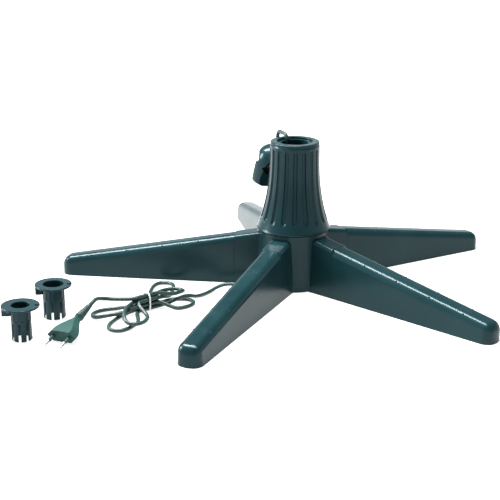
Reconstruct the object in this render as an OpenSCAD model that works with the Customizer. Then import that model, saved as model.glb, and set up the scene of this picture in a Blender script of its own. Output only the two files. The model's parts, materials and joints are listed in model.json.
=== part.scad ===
// Rotating christmas tree stand: five plug-in legs, a motor-driven turntable
// cone with a trunk socket, an outlet that turns with the tree, two reducing
// sleeves and a mains cord tied in a hank. Millimetres, floor at Z = 0, the
// axis of the turntable along Z.

/* [Legs] */
// Radius from the turning axis to the leg tips
leg_reach = 285; // [240:1:360]
// Radius of the seam between a leg and its socket on the hub
seam_r = 70; // [64:1:84]
// Height of a leg's top at the seam
leg_root_h = 58.8; // [54:0.1:59.5]
// Height of a leg's top line at the tip
leg_tip_h = 21.2; // [18:0.1:26]
// Width of a leg's top
leg_w = 26.4; // [24:0.1:30]
// Lean of a leg's sides
leg_draft = 3; // [1:0.5:5]
// Fillet along a leg's top edges
leg_edge_r = 5; // [3:0.5:7]
// Round of the tip's upper edge, seen from the side
leg_tip_r = 9; // [5:0.5:12]
// Wall of a leg
leg_wall = 2.5; // [1.6:0.1:3.5]

/* [Hub] */
// Outer radius of the hub
hub_r = 42; // [41:0.5:44]
// Height of the hub
hub_h = 68.5; // [66:0.1:72]
// Wall of the hub
hub_wall = 2.5; // [1.8:0.1:3]
// Wall of a leg socket
stub_wall = 2.8; // [2:0.1:3.5]
// Concave fillet between hub and sockets
hub_fillet_r = 4; // [2:0.5:4]
// Thickness of the bearing deck
deck_t = 4; // [3:0.5:5]
// Thickness of the base plate
base_t = 3; // [2:0.5:4]
// Radius of the circle of screw posts
post_ring_r = 34.5; // [33:0.5:35]

/* [Turntable] */
// Height of the turntable's top
top_h = 175; // [160:1:200]
// Height of the cone's lower edge above the hub
cone_gap = 1.8; // [1.5:0.1:3]
// Radius of the cone's lower rim
cone_rim_r = 44.4; // [43:0.1:48]
// Radius of the straight neck of the cone
cone_neck_r = 29.3; // [28:0.1:32]
// Exponent of the flare
cone_flare = 2.5; // [2:0.1:3]
// Wall of the cone
cone_wall = 5; // [4:0.1:5.2]
// Number of flutes
flute_count = 18; // [12:1:24]
// Depth of a flute
flute_depth = 2; // [1:0.1:2.5]
// Width of a flute, in degrees round the axis
flute_angle = 9; // [6:0.5:11]
// Bore for the trunk
trunk_bore_r = 16; // [15:0.1:16.5]
// Outer radius of the trunk tube
tube_r = 19; // [18.5:0.1:19.5]
// Bore of the seat for a 22 mm trunk end
seat_22_r = 11.2; // [10.5:0.1:12]
// Bore of the seat for a 19 mm trunk end
seat_19_r = 9.7; // [9:0.1:10.2]

/* [Bearings] */
// Diameter of a bearing ball
ball_d = 5; // [4:0.5:5]
// Number of bearing balls
ball_count = 18; // [12:1:24]
// Running clearance of the journal, on the radius
journal_clearance = 0.05; // [0.02:0.01:0.1]
// Wall of the journal bush
bush_wall = 2.45; // [2:0.05:3]

/* [Drive] */
// Gear module
gear_module = 1.25; // [1:0.05:1.3]
// Teeth of the pinion
pinion_teeth = 12; // [10:1:14]
// Teeth of the ring gear
ring_teeth = 40; // [36:1:42]
// Width of the gears' teeth
gear_width = 9; // [6:0.5:10]
// Diameter of the motor can
motor_d = 48; // [40:1:50]
// Length of the motor can
motor_h = 20; // [16:1:20]
// Radius of the motor's shaft
motor_shaft_r = 3; // [2.5:0.1:3.5]

/* [Outlet] */
// Radius of the outlet's mouth
outlet_r = 26; // [25:0.1:28]
// Length of the outlet
outlet_l = 48; // [46:1:52]
// Lean of the outlet away from the cone
outlet_lean = 17; // [15:0.5:20]
// Turn of the outlet about its own axis
outlet_twist = -16; // [-20:1:0]
// Distance from the outlet's axis to its flats
outlet_flat_r = 18.4; // [18:0.1:19]
// Length of a socket recess
recess_l = 35.3; // [34:0.1:36]
// Height of a socket recess
recess_h = 13.9; // [13.7:0.1:14.5]
// Depth of a socket recess
recess_d = 6; // [5:0.5:6.5]
// Distance between the two pin holes
pin_pitch = 19; // [18.5:0.1:19.5]
// Radius of the plug pins
pin_r = 2; // [1.9:0.05:2.1]

/* [Adapters] */
// Height of the reducing sleeves
adapter_h = 39; // [34:1:44]
// Bore radius of the smaller sleeve
adapter_19_r = 9.6; // [9:0.1:10]
// Bore radius of the larger sleeve
adapter_22_r = 11.1; // [10.6:0.1:11.6]
// Wall of the sleeves
adapter_wall = 1.2; // [1:0.1:1.6]
// Number of slots between the fingers
adapter_slots = 8; // [6:1:12]
// Length of the slots
adapter_slot_l = 20; // [14:1:24]

/* [Cord] */
// Diameter of the cords
cord_d = 4.5; // [4:0.1:5]
// Diameter of the mains plug's boot at the plug
boot_d = 10; // [8:0.5:12]

/* [Hidden] */
$fn = 96;

green = [0.10, 0.19, 0.20];
dark_green = [0.08, 0.15, 0.16];
steel = [0.72, 0.73, 0.75];
brass = [0.78, 0.64, 0.33];
graphite = [0.16, 0.16, 0.17];
natural = [0.86, 0.85, 0.80];
white = [0.90, 0.91, 0.90];

fit = 0.05; // between pressed or screwed parts
slip = 0.3; // between parts that slide together
over = 1; // how far a cutter runs past what it cuts

// Angles round the axis
leg_step = 72;
leg_angle_right = 18;
mains_angle = leg_angle_right + 2.5 * leg_step;
cord_angle = 108;
key_angle = cord_angle + 180;
drive_angle = 45;
brush_angle = mains_angle;
outlet_angle = 105;

// Legs
leg_slope = (leg_root_h - leg_tip_h) / (leg_reach - seam_r);
leg_pitch = atan(leg_slope);
tongue_start = 48;
tongue_wall = 2.2;
window_r = [54, 62];
window_w = 10;
rib_pitch = 44;
rib_t = 2;
rib_lift = 6;

// Hub
hub_in_r = hub_r - hub_wall;
deck_z = hub_h - 7.5;
deck_top = deck_z + deck_t;
post_r = 3.5;
cup_r = 5;
cup_h = 6;
screw_r = 1.3;
screw_head_r = 2.8;
screw_head_h = 2;
pilot_r = screw_r + fit;
cord_exit_z = 8;
cord_r = cord_d / 2;
exit_r = 4.2;
boot_flange_r = 6;
boot_in_r = hub_in_r - 2.5;

// Turntable
cone_z = hub_h + cone_gap;
band_z = cone_z + 0.7;
neck_z = top_h - 10;
ledge_z = cone_z + 4.7;
ledge_t = 3;
cone_skirt_r = 39.2;
mid_flange_r = 38.5;
mid_flange_t = 3;
flute_low = band_z + 10.3;
flute_high = neck_z + 3;
recess_r = 21;
recess_deep = 2.2;
top_flange_t = 2.8;
tube_top = top_h - recess_deep;
tube_bottom = 44;
tube_floor_t = 4;
seat_step = 6;
cone_screw_r = 27.6;
key_w = 8.4;
key_r = 20.3;
key_deep = 10.8;
notch_w = 5.6;
cord_in_r = 18.4;
cord_run_r = 21.6;
cord_shift_z = [148, 161];
groove_w = 5;
groove_deep = 2;
lead_r = 0.8;
lead_gap = 1.2;
lead_low = 56;
lead_high = 84;

// Bearings
ball_r = ball_d / 2;
race_in_r = post_ring_r - 3.5;
race_out_r = post_ring_r + 3.5;
race_groove_r = ball_r + 0.1;
lower_race_t = 1.5;
upper_race_t = 1.4;
upper_race_z = ledge_z - mid_flange_t - upper_race_t;
ball_z = (deck_top + lower_race_t + upper_race_z) / 2;
race_gap = 0.03;
bush_r = tube_r + journal_clearance;
sleeve_in_r = bush_r + bush_wall;
sleeve_r = sleeve_in_r + 3;
sleeve_z = deck_z - 5;

// Drive
pinion_pitch_r = gear_module * pinion_teeth / 2;
ring_pitch_r = gear_module * ring_teeth / 2;
centre_distance = ring_pitch_r - pinion_pitch_r;
pressure_angle = 20;
backlash = 0.2;
gear_rim_r = ring_pitch_r + 1.25 * gear_module + 2.9;
gear_web_t = 4;
gear_top = tube_bottom;
gear_z = gear_top - gear_web_t - gear_width - 1;
pinion_z = gear_z + 0.5;
motor_z = base_t + 5;
motor_offset = 4.5;
ear_t = 1.5;
ear_reach = 30;
ear_z = motor_z + motor_h - ear_t;
gear_screw_r = 13;

// Slip rings
carrier_z = [45, 55];
carrier_t = 1.8;
slip_ring_t = 1.4;
slip_ring_h = 2.5;
slip_ring_z = [46.5, 51];
slip_ring_r = tube_r + carrier_t + slip_ring_t;
brush_w = 3;
brush_h = 2;
brush_r = [slip_ring_r + 0.3, 28];
spring_end = 34;
holder_r = [24.6, 36];
holder_w = 12;

// Outlet, placed in the upright plane through the cord
outlet_top_r = 46;
outlet_top_z = 160.5;
arch_r = 5.5;
arch_z = 173.5;
socket_at = 24.5;
socket_shift = [0, 6, -6]; // keeps the pins of the three sockets clear of each other
pin_hole_r = pin_r + 0.4;
pin_hole_d = 12;
contact_wall = 0.25;
crown_l = 11.3; // ends of the slice that holds the sockets
foot_at = 38;
bell_profile = [
    [0, 0], [4.2, 0], [5, -0.8], [6.2, -2], [9.4, -3], [12, -4.2], [15.6, -6.4], [18, -8.6],
    [20.2, -12], [21.8, -16], [23.1, -21], [24.3, -27], [25.3, -33], [outlet_r - 0.1, -38],
    [outlet_r, -43], [outlet_r - 0.3, 3 - outlet_l], [outlet_r - 0.9, 0.8 - outlet_l],
    [outlet_r - 2, -outlet_l], [0, -outlet_l]
];

// Adapters
adapter_at_19 = [-327, -123];
adapter_at_22 = [-290, -64];
adapter_flange_r = recess_r - 0.5;
adapter_flange_t = 2;
adapter_key_angle = 168;
adapter_key_w = key_w - 0.4;
adapter_key_h = key_deep - 0.8;
adapter_key_r = key_r - 0.6;
adapter_slot_w = 2.6;
adapter_slot_angle = 258;
adapter_panel_w = 4.4;

// Mains cord: points on the floor from the hub to the tie, and on to the plug
boot_l = 22;
boot_out_r = seam_r - 6;
mains_route = [
    [-84.5, -15, 4.5], [-96.3, -17, 2.4], [-109.6, -26.8, 0], [-124.4, -41.1, 1.9],
    [-136.9, -48.5, 6.1], [-147.7, -54.7, 6.3], [-159.4, -58.5, 3.3], [-165.4, -59.6, 2]
];
plug_route = [
    [-208, -72.7, 15.8], [-223.7, -64.5, 13.9], [-235.7, -66.2, 15.9], [-243.2, -76.6, 20]
];

// Hank: place of the tie, heading of the bundle, then one row for each loop:
// direction, length, half width, heights on the way out, at the end and back
tie_at = [-186, -66];
bundle_angle = 207;
bundle_half = 10;
bundle_lift = 1.4;
bundle_pitch = 5.1;
hank_loops = [
    [236.9, 63.1, 13.5, 0, 0, 0],
    [11.6, 46.7, 14.5, 0, 0, 0],
    [185.7, 54.1, 15, 5, 0, 0],
    [73.6, 80.8, 12.8, 0, 0, 0.8],
    [255.3, 53, 12.7, 3.6, 5.3, 10.1],
    [39.8, 44.9, 13.6, 8, 8, 12.8]
];
bundle_slots = [[0.5, 0], [-0.5, 0], [0.5, 1], [-0.5, 1], [0.5, 2], [-0.5, 2], [0, 2.95]];
hank_rings = 5;
tie_wire = 1;
wire_gap = 0.4;

// Plug
plug_at = [-265.5, -111, 15.45];
plug_heading = 235.5;
plug_dip = 13;
plug_roll = 1;
plug_l = 38;
plug_w = 35.3;
plug_h = 13.7;
plug_tail_w = 17;
plug_tail_h = 10;
plug_boot_l = 25;
pin_l = 19;
pin_root_l = 8;
pin_root_r = 1.5;

// ---------------------------------------------------------------- helpers

function pol(radius, angle) = [radius * cos(angle), radius * sin(angle)];
function unit(v) = v / norm(v);
function arc(c, r, from, to, steps) = [for (k = [0:steps]) c + pol(r, from + (to - from) * k / steps)];
function leg_top(x) = leg_root_h - leg_slope * (x - seam_r);
function cone_r(z) = cone_neck_r
    + (cone_rim_r - 0.4 - cone_neck_r) * pow(max(neck_z - z, 0) / (neck_z - band_z), cone_flare);

// Child turned to an angle round the axis and moved out to a radius
module polar(angle, radius, z = 0) {
    rotate([0, 0, angle]) translate([radius, 0, z]) children();
}

// Round bar between two heights
module rod(r, z0, z1) {
    translate([0, 0, z0]) cylinder(r = r, h = z1 - z0);
}

// Tube between two heights
module pipe(r_out, r_in, z0, z1) {
    rotate_extrude() translate([r_in, z0]) square([r_out - r_in, z1 - z0]);
}

// Pan-head screw that points up from its head at the origin
module screw_up(length) {
    cylinder(r = screw_head_r, h = screw_head_h);
    rod(screw_r, screw_head_h - 0.2, screw_head_h + length);
}

// Smooth line through points, steps per span
function spline_at(a, b, c, d, t) = 0.5 * (2 * b + (c - a) * t
    + (2 * a - 5 * b + 4 * c - d) * t * t + (3 * b - a - 3 * c + d) * t * t * t);
function spline(p, steps) = let (last = len(p) - 1) [
    for (i = [0:last - 1]) for (k = [0:steps - 1])
        spline_at(
            i > 0 ? p[i - 1] : 2 * p[0] - p[1], p[i], p[i + 1],
            i < last - 1 ? p[i + 2] : 2 * p[last] - p[last - 1], k / steps
        ),
    p[last]
];

// One closed tube along points, its ends square to the first and last span
function heading_at(p, i) = unit(p[min(i + 1, len(p) - 1)] - p[max(i - 1, 0)]);
function end_heading(p, i) = i <= 1 ? unit(p[1] - p[0])
    : i >= len(p) - 2 ? unit(p[len(p) - 1] - p[len(p) - 2]) : heading_at(p, i);
function tube_ring(c, t, up, r, sides) = let (a = unit(cross(t, up)), b = cross(a, t))
    [for (k = [0:sides - 1]) c + r * (cos(360 * (k + 0.5) / sides) * a
        + sin(360 * (k + 0.5) / sides) * b)];
module tube(p, r, sides, up = [0, 0, 1]) {
    rings = len(p);
    points = [for (i = [0:rings - 1]) each tube_ring(p[i], end_heading(p, i), up, r, sides)];
    walls = [for (i = [0:rings - 2]) for (k = [0:sides - 1]) let (
        a = i * sides + k, b = i * sides + (k + 1) % sides, c = a + sides, d = b + sides
    ) each [[a, b, d], [a, d, c]]];
    start = [for (k = [1:sides - 2]) [0, k + 1, k]];
    top = (rings - 1) * sides;
    end = [for (k = [1:sides - 2]) [top, top + k, top + k + 1]];
    polyhedron(points = points, faces = concat(walls, start, end), convexity = 10);
}

// ------------------------------------------------------------------- legs

// Section across a leg, its top line at Y = 0
module leg_section(inset) {
    half = leg_w / 2 - inset;
    edge = leg_edge_r - inset * 0.8;
    centre = half - edge / cos(leg_draft) + edge * tan(leg_draft);
    deep = leg_root_h + 20;
    spread = half + deep * tan(leg_draft);
    polygon(concat(
        arc([centre, -inset - edge], edge, 90, leg_draft, 7), [[spread, -deep], [-spread, -deep]],
        arc([-centre, -inset - edge], edge, 180 - leg_draft, 90, 7)
    ));
}

// Endless bar with the leg's section, along the leg's sloping top line
module leg_beam(inset) {
    translate([seam_r, 0, leg_root_h]) rotate([0, leg_pitch, 0]) translate([-seam_r, 0, 0])
        rotate([90, 0, 90]) linear_extrude(height = leg_reach + 40) leg_section(inset);
}

// Outline of a leg from the side, between a start radius and the round tip
module leg_side(inset, start, floor_z) {
    r = leg_tip_r - inset;
    x = leg_reach - inset - r;
    z = leg_top(x) - (inset + r) / cos(leg_pitch);
    high = leg_root_h + 20;
    rotate([90, 0, 0]) linear_extrude(height = 4 * leg_w, center = true) polygon(concat(
        [[start, floor_z], [start, high], [x + r * sin(leg_pitch), high]],
        arc([x, z], r, 90 - leg_pitch, 0, 7), [[x + r, floor_z]]
    ));
}

// Outline of a leg from above: straight sides and a bowed nose
module leg_plan(inset, start) {
    nose = 21 - inset;
    corner = 5.5 - inset;
    half = leg_w / 2 + leg_tip_h * tan(leg_draft) + 0.6 - inset;
    root_half = leg_w / 2 + leg_root_h * tan(leg_draft) + 2;
    bow_x = leg_reach - 21;
    corner_y = half - corner;
    corner_x = bow_x + sqrt(pow(nose - corner, 2) - pow(corner_y, 2));
    bow = asin(corner_y / (nose - corner));
    translate([0, 0, -5]) linear_extrude(height = leg_root_h + 30) polygon(concat(
        [[start, root_half], [start, -root_half]],
        arc([corner_x, -corner_y], corner, -90, -bow, 4), arc([bow_x, 0], nose, -bow, bow, 8),
        arc([corner_x, corner_y], corner, bow, 90, 4)
    ));
}

// Solid leg, drawn in from its outside by an inset
module leg_form(inset, start, floor_z) {
    intersection() {
        leg_beam(inset);
        leg_side(inset, start, floor_z);
        leg_plan(inset, start);
    }
}

// Slice of the leg's section between two radii
module leg_slice(inset, x0, x1, z0) {
    intersection() {
        leg_beam(inset);
        translate([x0, -leg_w, z0]) cube([x1 - x0, 2 * leg_w, leg_root_h + 20]);
    }
}

module leg() {
    tongue_in = stub_wall + slip;
    color(green) {
        difference() {
            leg_form(0, seam_r, 0);
            leg_form(leg_wall, seam_r + leg_wall, -over);
        }
        intersection() {
            leg_form(leg_wall / 2, seam_r + 1, rib_lift);
            for (x = [seam_r + rib_pitch:rib_pitch:leg_reach - 20])
                translate([x, -leg_w, 0]) cube([rib_t, 2 * leg_w, leg_root_h]);
        }
        difference() {
            leg_slice(tongue_in, tongue_start, seam_r + 1, stub_wall + slip);
            leg_slice(tongue_in + tongue_wall, tongue_start - over, seam_r, -over);
        }
        translate([tongue_start, -6, stub_wall + slip]) cube([seam_r + 1 - tongue_start, 12, 2]);
        rotate([90, 0, 0]) linear_extrude(height = window_w - 0.6, center = true) polygon([
            [window_r[0] + 1, stub_wall + slip + 1], [window_r[1] - 0.4, stub_wall + slip + 1],
            [window_r[1] - 0.4, 0.9], [window_r[1] - 1.6, 0.9]
        ]);
    }
}

module leg_node(index) {
    rotate([0, 0, leg_angle_right + index * leg_step]) leg();
}

// -------------------------------------------------------------------- hub

module stub_shell() {
    difference() {
        leg_slice(0, hub_r - 5, seam_r, 0);
        difference() {
            leg_slice(stub_wall, hub_r - 5, seam_r + over, stub_wall);
            rod(hub_r + 2.5, -over, hub_h);
        }
        translate([window_r[0], -window_w / 2, -over])
            cube([window_r[1] - window_r[0], window_w, stub_wall + 2 * over]);
    }
    stub_top_fillet();
    for (s = [0, 1]) mirror([0, s, 0]) stub_side_fillet();
}

// Concave fillet between a socket's side and the hub, leaning with the side
module stub_side_fillet() {
    half = leg_w / 2 + leg_top(hub_r) * tan(leg_draft);
    y = half + hub_fillet_r;
    x = sqrt(pow(hub_r + hub_fillet_r, 2) - pow(y, 2));
    turn = atan2(y, x) + 180;
    translate([0, half, 0]) rotate([leg_draft, 0, 0]) translate([0, -half, 0])
        linear_extrude(height = leg_top(hub_r) - leg_edge_r) polygon(concat(
            [[x, half - 1.5]], arc([x, y], hub_fillet_r + 0.05, 270, turn, 6),
            [pol(hub_r - 1.5, turn - 180), [hub_r - 6, half - 1.5]]
        ));
}

// Concave fillet between a socket's top and the hub
module stub_top_fillet() {
    r = hub_fillet_r - 0.5;
    z = leg_top(hub_r + r) + r / cos(leg_pitch);
    spread = asin((leg_w / 2 - leg_edge_r) / hub_r);
    rotate_extrude(angle = 2 * spread, start = -spread) polygon(concat(
        [[hub_r - 1, z], [hub_r - 1, z - r - 1.5], [hub_r + r, z - r - 1.5]],
        arc([hub_r + r, z], r + 0.05, 270, 180, 6)
    ));
}

module hub_body() {
    color(green) difference() {
        union() {
            pipe(hub_r, hub_in_r, 0, hub_h);
            pipe(hub_in_r + 0.5, sleeve_in_r, deck_z, deck_top);
            pipe(sleeve_r, sleeve_in_r, sleeve_z, deck_top);
            for (i = [0:4]) rotate([0, 0, leg_angle_right + i * leg_step]) {
                translate([post_ring_r, 0, 0]) rod(post_r, cup_h, deck_z + 1);
                difference() {
                    stub_shell();
                    rod(hub_in_r + 0.5, -over, hub_h + over);
                }
            }
        }
        for (i = [0:4]) polar(leg_angle_right + i * leg_step, post_ring_r)
            rod(pilot_r, cup_h - over, cup_h + 14);
        polar(mains_angle, 0, cord_exit_z) rotate([0, 90, 0]) rod(exit_r, hub_in_r - 3, hub_r + 3);
        for (y = [-4, 4]) polar(brush_angle, 33) translate([0, y, 0])
            rod(pilot_r, deck_z - over, deck_z + 3);
        translate([-seam_r - over, -seam_r - over, -10]) cube([2 * seam_r + 2, 2 * seam_r + 2, 10]);
    }
}

module base_plate() {
    color(dark_green) difference() {
        union() {
            rod(hub_in_r - slip, 0, base_t);
            for (i = [0:4]) polar(leg_angle_right + i * leg_step, post_ring_r) intersection() {
                rod(cup_r, base_t - over, cup_h - fit);
                translate([-post_ring_r, 0, 0]) rod(hub_in_r - 2 * slip, 0, cup_h);
            }
            for (s = [-1, 1]) motor_ear_at(s) rod(post_r, base_t - over, ear_z - fit);
            terminal_seat();
        }
        for (i = [0:4]) polar(leg_angle_right + i * leg_step, post_ring_r) {
            rod(screw_head_r + 0.4, -over, cup_h - 2.4);
            rod(screw_r + 0.4, -over, cup_h + over);
        }
        for (s = [-1, 1]) motor_ear_at(s) rod(pilot_r, ear_z - 10, ear_z + over);
        for (a = [0:5]) polar(drive_angle + 60 * a, 15) rod(2.5, -over, base_t + over);
        polar(mains_angle, 0, cord_exit_z) rotate([0, 90, 0])
            rod(boot_flange_r + slip, boot_in_r - slip, hub_r);
    }
}

// Two low walls that hold the terminal block
module terminal_seat() {
    polar(mains_angle, 0) for (y = [-9.6, 8.1]) translate([24, y, base_t - over])
        cube([9, 1.5, 3 + over]);
}

module base_screws() {
    color(steel) for (i = [0:4]) polar(leg_angle_right + i * leg_step, post_ring_r)
        translate([0, 0, cup_h - 2.4 - screw_head_h]) screw_up(12);
}

// --------------------------------------------------------------- bearings

module journal_bush() {
    color(natural) pipe(sleeve_in_r - fit / 5, bush_r, sleeve_z, deck_top);
}

// Flat ring with a ball groove in one face
module race(z0, z1, groove_z) {
    rotate_extrude() difference() {
        translate([race_in_r, z0]) square([race_out_r - race_in_r, z1 - z0]);
        translate([post_ring_r, groove_z]) circle(r = race_groove_r);
    }
}

module lower_race() {
    color(steel) race(deck_top, deck_top + lower_race_t, ball_z + race_groove_r - ball_r - race_gap);
}

module upper_race() {
    color(steel) race(upper_race_z, upper_race_z + upper_race_t,
        ball_z - race_groove_r + ball_r + race_gap);
}

module bearing_balls() {
    color(steel) for (i = [0:ball_count - 1]) polar(i * 360 / ball_count, post_ring_r, ball_z)
        sphere(r = ball_r);
}

module ball_cage() {
    color(natural) difference() {
        pipe(post_ring_r + 3, post_ring_r - 3, ball_z - 1.1, ball_z + 1.1);
        for (i = [0:ball_count - 1]) polar(i * 360 / ball_count, post_ring_r)
            rod(ball_r + 0.2, ball_z - 2, ball_z + 2);
    }
}

// ------------------------------------------------------------------ drive

// Points along one involute flank, from the base circle to a radius
function involute(base, t) = base * [cos(t) + t * PI / 180 * sin(t), sin(t) - t * PI / 180 * cos(t)];
function involute_turn(base, r) = sqrt(pow(r / base, 2) - 1) * 180 / PI;

// Gear outline: involute teeth between two radii, thinned by a play
module gear_outline(teeth, r_low, r_high, play) {
    pitch_r = gear_module * teeth / 2;
    base = pitch_r * cos(pressure_angle);
    at_pitch = involute(base, involute_turn(base, pitch_r));
    half_tooth = 90 / teeth - play / pitch_r * 90 / PI + atan2(at_pitch[1], at_pitch[0]);
    first = involute_turn(base, max(r_low, base));
    last = involute_turn(base, r_high);
    steps = 4;
    flank = concat(
        r_low < base ? [[r_low, 0]] : [],
        [for (k = [0:steps]) involute(base, first + (last - first) * k / steps)]
    );
    turned = [for (p = flank) let (a = atan2(p[1], p[0]) - half_tooth) pol(norm(p), a)];
    mirrored = [for (k = [len(turned) - 1:-1:0]) [turned[k][0], -turned[k][1]]];
    tooth = concat(turned, mirrored);
    polygon([for (i = [0:teeth - 1]) for (p = tooth) let (a = i * 360 / teeth)
        [p[0] * cos(a) - p[1] * sin(a), p[0] * sin(a) + p[1] * cos(a)]]);
}

module motor_can() {
    color(steel) polar(drive_angle, motor_offset) {
        difference() {
            rod(motor_d / 2, motor_z, motor_z + motor_h);
            translate([centre_distance - motor_offset, 0, 0])
                rod(motor_shaft_r + 0.1, motor_z + 4, motor_z + motor_h + over);
        }
        rod(6, base_t + 0.3, motor_z + 0.5);
    }
}

module motor_ear_at(side) {
    polar(drive_angle, motor_offset) translate([0, side * ear_reach, 0]) children();
}

module motor_mount() {
    can_r = motor_d / 2 + fit / 5;
    color(steel) difference() {
        union() {
            for (s = [-1, 1]) motor_ear_at(s) rod(post_r + 0.5, ear_z, ear_z + ear_t);
            polar(drive_angle, motor_offset)
                translate([-post_r - 0.5, -ear_reach, ear_z]) cube([2 * post_r + 1, 2 * ear_reach, ear_t]);
        }
        polar(drive_angle, motor_offset) rod(can_r, ear_z - over, ear_z + ear_t + over);
        for (s = [-1, 1]) motor_ear_at(s) rod(screw_r + 0.4, ear_z - over, ear_z + ear_t + over);
    }
}

module motor_screws() {
    color(steel) for (s = [-1, 1]) motor_ear_at(s) {
        rod(screw_head_r, ear_z + ear_t, ear_z + ear_t + 1.6);
        rod(screw_r, ear_z - 8, ear_z + ear_t + 0.2);
    }
}

module motor_shaft() {
    color(steel) polar(drive_angle, centre_distance) difference() {
        rod(motor_shaft_r, motor_z + 4.1, pinion_z + gear_width);
        translate([motor_shaft_r - 0.5, -motor_shaft_r, pinion_z - 1])
            cube([over, 2 * motor_shaft_r, gear_width + 2]);
    }
}

module drive_pinion() {
    color(natural) polar(drive_angle, centre_distance) difference() {
        translate([0, 0, pinion_z]) linear_extrude(height = gear_width) gear_outline(
            pinion_teeth, pinion_pitch_r - 1.25 * gear_module, pinion_pitch_r + gear_module, backlash
        );
        rod(motor_shaft_r + fit, pinion_z - over, pinion_z + gear_width + over);
    }
}

module drive_gear() {
    color(natural) difference() {
        rod(gear_rim_r, gear_z, gear_top);
        rotate([0, 0, drive_angle]) translate([0, 0, gear_z - over])
            linear_extrude(height = gear_width + 1 + over) gear_outline(
                ring_teeth, ring_pitch_r - gear_module, ring_pitch_r + 1.25 * gear_module, -backlash
            );
        for (i = [0:2]) polar(i * 120, gear_screw_r) {
            rod(screw_r + 0.4, gear_z, gear_top + over);
            rod(screw_head_r + 0.3, gear_z, gear_top - 1.6);
        }
        rod(5, gear_z, gear_top + over);
    }
}

module gear_screws() {
    color(steel) for (i = [0:2]) polar(i * 120, gear_screw_r) {
        rod(screw_head_r, gear_top - 3.4, gear_top - 1.6);
        rod(screw_r, gear_top - 1.8, gear_top + 3.4);
    }
}

// -------------------------------------------------------------- turntable

// Outside of the cone, with the flute cutters' floor at a depth
module cone_profile(inset) {
    steps = 14;
    polygon(concat(
        [[0, cone_z], [cone_rim_r - 0.4 - inset, cone_z], [cone_rim_r - inset, cone_z + 0.4],
            [cone_rim_r - 0.2 - inset, band_z]],
        [for (k = [1:steps]) let (z = band_z + (neck_z - band_z) * k / steps) [cone_r(z) - inset, z]],
        [[cone_neck_r - inset, top_h - 4.6], [cone_neck_r - 0.3 - inset, top_h - 4.3],
            [cone_neck_r - 0.3 - inset, top_h - 1], [cone_neck_r - 0.6 - inset, top_h - 0.3],
            [cone_neck_r - 1.3 - inset, top_h], [0, top_h]]
    ));
}

// One flute's outline from outside: a taper with round ends
module flute_outline() {
    low_r = cone_r(flute_low) * tan(flute_angle / 2);
    high_r = cone_r(flute_high) * tan(flute_angle / 2);
    span = flute_high - high_r - flute_low - low_r;
    lean = asin((low_r - high_r) / span);
    rotate([90, 0, 90]) linear_extrude(height = cone_rim_r + 5) polygon(concat(
        arc([0, flute_low + low_r], low_r, -180 - lean, lean, 10),
        arc([0, flute_high - high_r], high_r, lean, 180 - lean, 8)
    ));
}

module rotor_cone() {
    steps = 8;
    color(green) difference() {
        rotate_extrude() cone_profile(0);
        rotate_extrude() polygon(concat(
            [[0, cone_z - over], [cone_skirt_r, cone_z - over], [cone_skirt_r, ledge_z],
                [sleeve_r - 0.5, ledge_z], [sleeve_r - 0.5, ledge_z + ledge_t]],
            [for (k = [0:steps]) let (z = ledge_z + ledge_t + (neck_z + 1 - ledge_z - ledge_t) * k / steps)
                [cone_r(z) - cone_wall, z]],
            [[tube_r + 0.1, neck_z + 1], [tube_r + 0.1, tube_top - top_flange_t],
                [recess_r, tube_top - top_flange_t], [recess_r, top_h + over], [0, top_h + over]]
        ));
        intersection() {
            for (i = [0:flute_count - 1]) rotate([0, 0, leg_angle_right + i * 360 / flute_count])
                flute_outline();
            rotate_extrude() difference() {
                translate([cone_neck_r - 6, flute_low - 2]) square([22, flute_high - flute_low + 4]);
                cone_profile(flute_depth);
            }
        }
        polar(cord_angle, 0) translate([0, -notch_w / 2, neck_z]) cube([recess_r, notch_w, 12]);
        polar(key_angle, 0) translate([0, -key_w / 2, neck_z]) cube([key_r + 0.3, key_w, 6.2]);
        for (i = [0:3]) polar(cord_angle + 45 + i * 90, cone_screw_r)
            rod(pilot_r, ledge_z - over, ledge_z + ledge_t + over);
    }
}

module cone_screws() {
    color(steel) for (i = [0:3]) polar(cord_angle + 45 + i * 90, cone_screw_r) {
        rod(screw_head_r, ledge_z - mid_flange_t - 0.5, ledge_z - mid_flange_t + 1.4);
        rod(screw_r, ledge_z - mid_flange_t + 1.2, ledge_z + ledge_t - 0.2);
    }
}

module trunk_tube() {
    color(green) difference() {
        union() {
            rod(tube_r, tube_bottom, tube_top);
            rod(recess_r - 0.1, tube_top - top_flange_t, tube_top);
            rod(mid_flange_r, ledge_z - mid_flange_t, ledge_z);
            polar(key_angle, 0) translate([tube_r - 1, -key_w / 2 - 1.4, tube_top - key_deep - 1.4])
                cube([key_r + 1.2 - tube_r, key_w + 2.8, neck_z + 1 - tube_top + key_deep + 1.2]);
        }
        rod(trunk_bore_r, tube_bottom + tube_floor_t + 2 * seat_step, top_h);
        rod(seat_22_r, tube_bottom + tube_floor_t + seat_step, top_h);
        rod(seat_19_r, tube_bottom + tube_floor_t, top_h);
        polar(key_angle, 0) translate([0, -key_w / 2, tube_top - key_deep])
            cube([key_r, key_w, key_deep + over]);
        polar(cord_angle, 0) {
            translate([0, -notch_w / 2, cord_shift_z[0] - 4]) cube([recess_r + over, notch_w, top_h]);
            translate([tube_r - groove_deep, -groove_w / 2, carrier_z[0]])
                cube([groove_deep + 0.6, groove_w, cord_shift_z[0] - carrier_z[0]]);
        }
        for (i = [0:3]) polar(cord_angle + 45 + i * 90, cone_screw_r) {
            rod(screw_r + 0.4, ledge_z - mid_flange_t - over, ledge_z + over);
            rod(screw_head_r + 0.3, ledge_z - mid_flange_t - over, ledge_z - mid_flange_t + 1.4);
        }
        for (i = [0:2]) polar(i * 120, gear_screw_r) rod(pilot_r, tube_bottom - over, tube_bottom + 3.6);
    }
}

// ------------------------------------------------------------- slip rings

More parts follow.
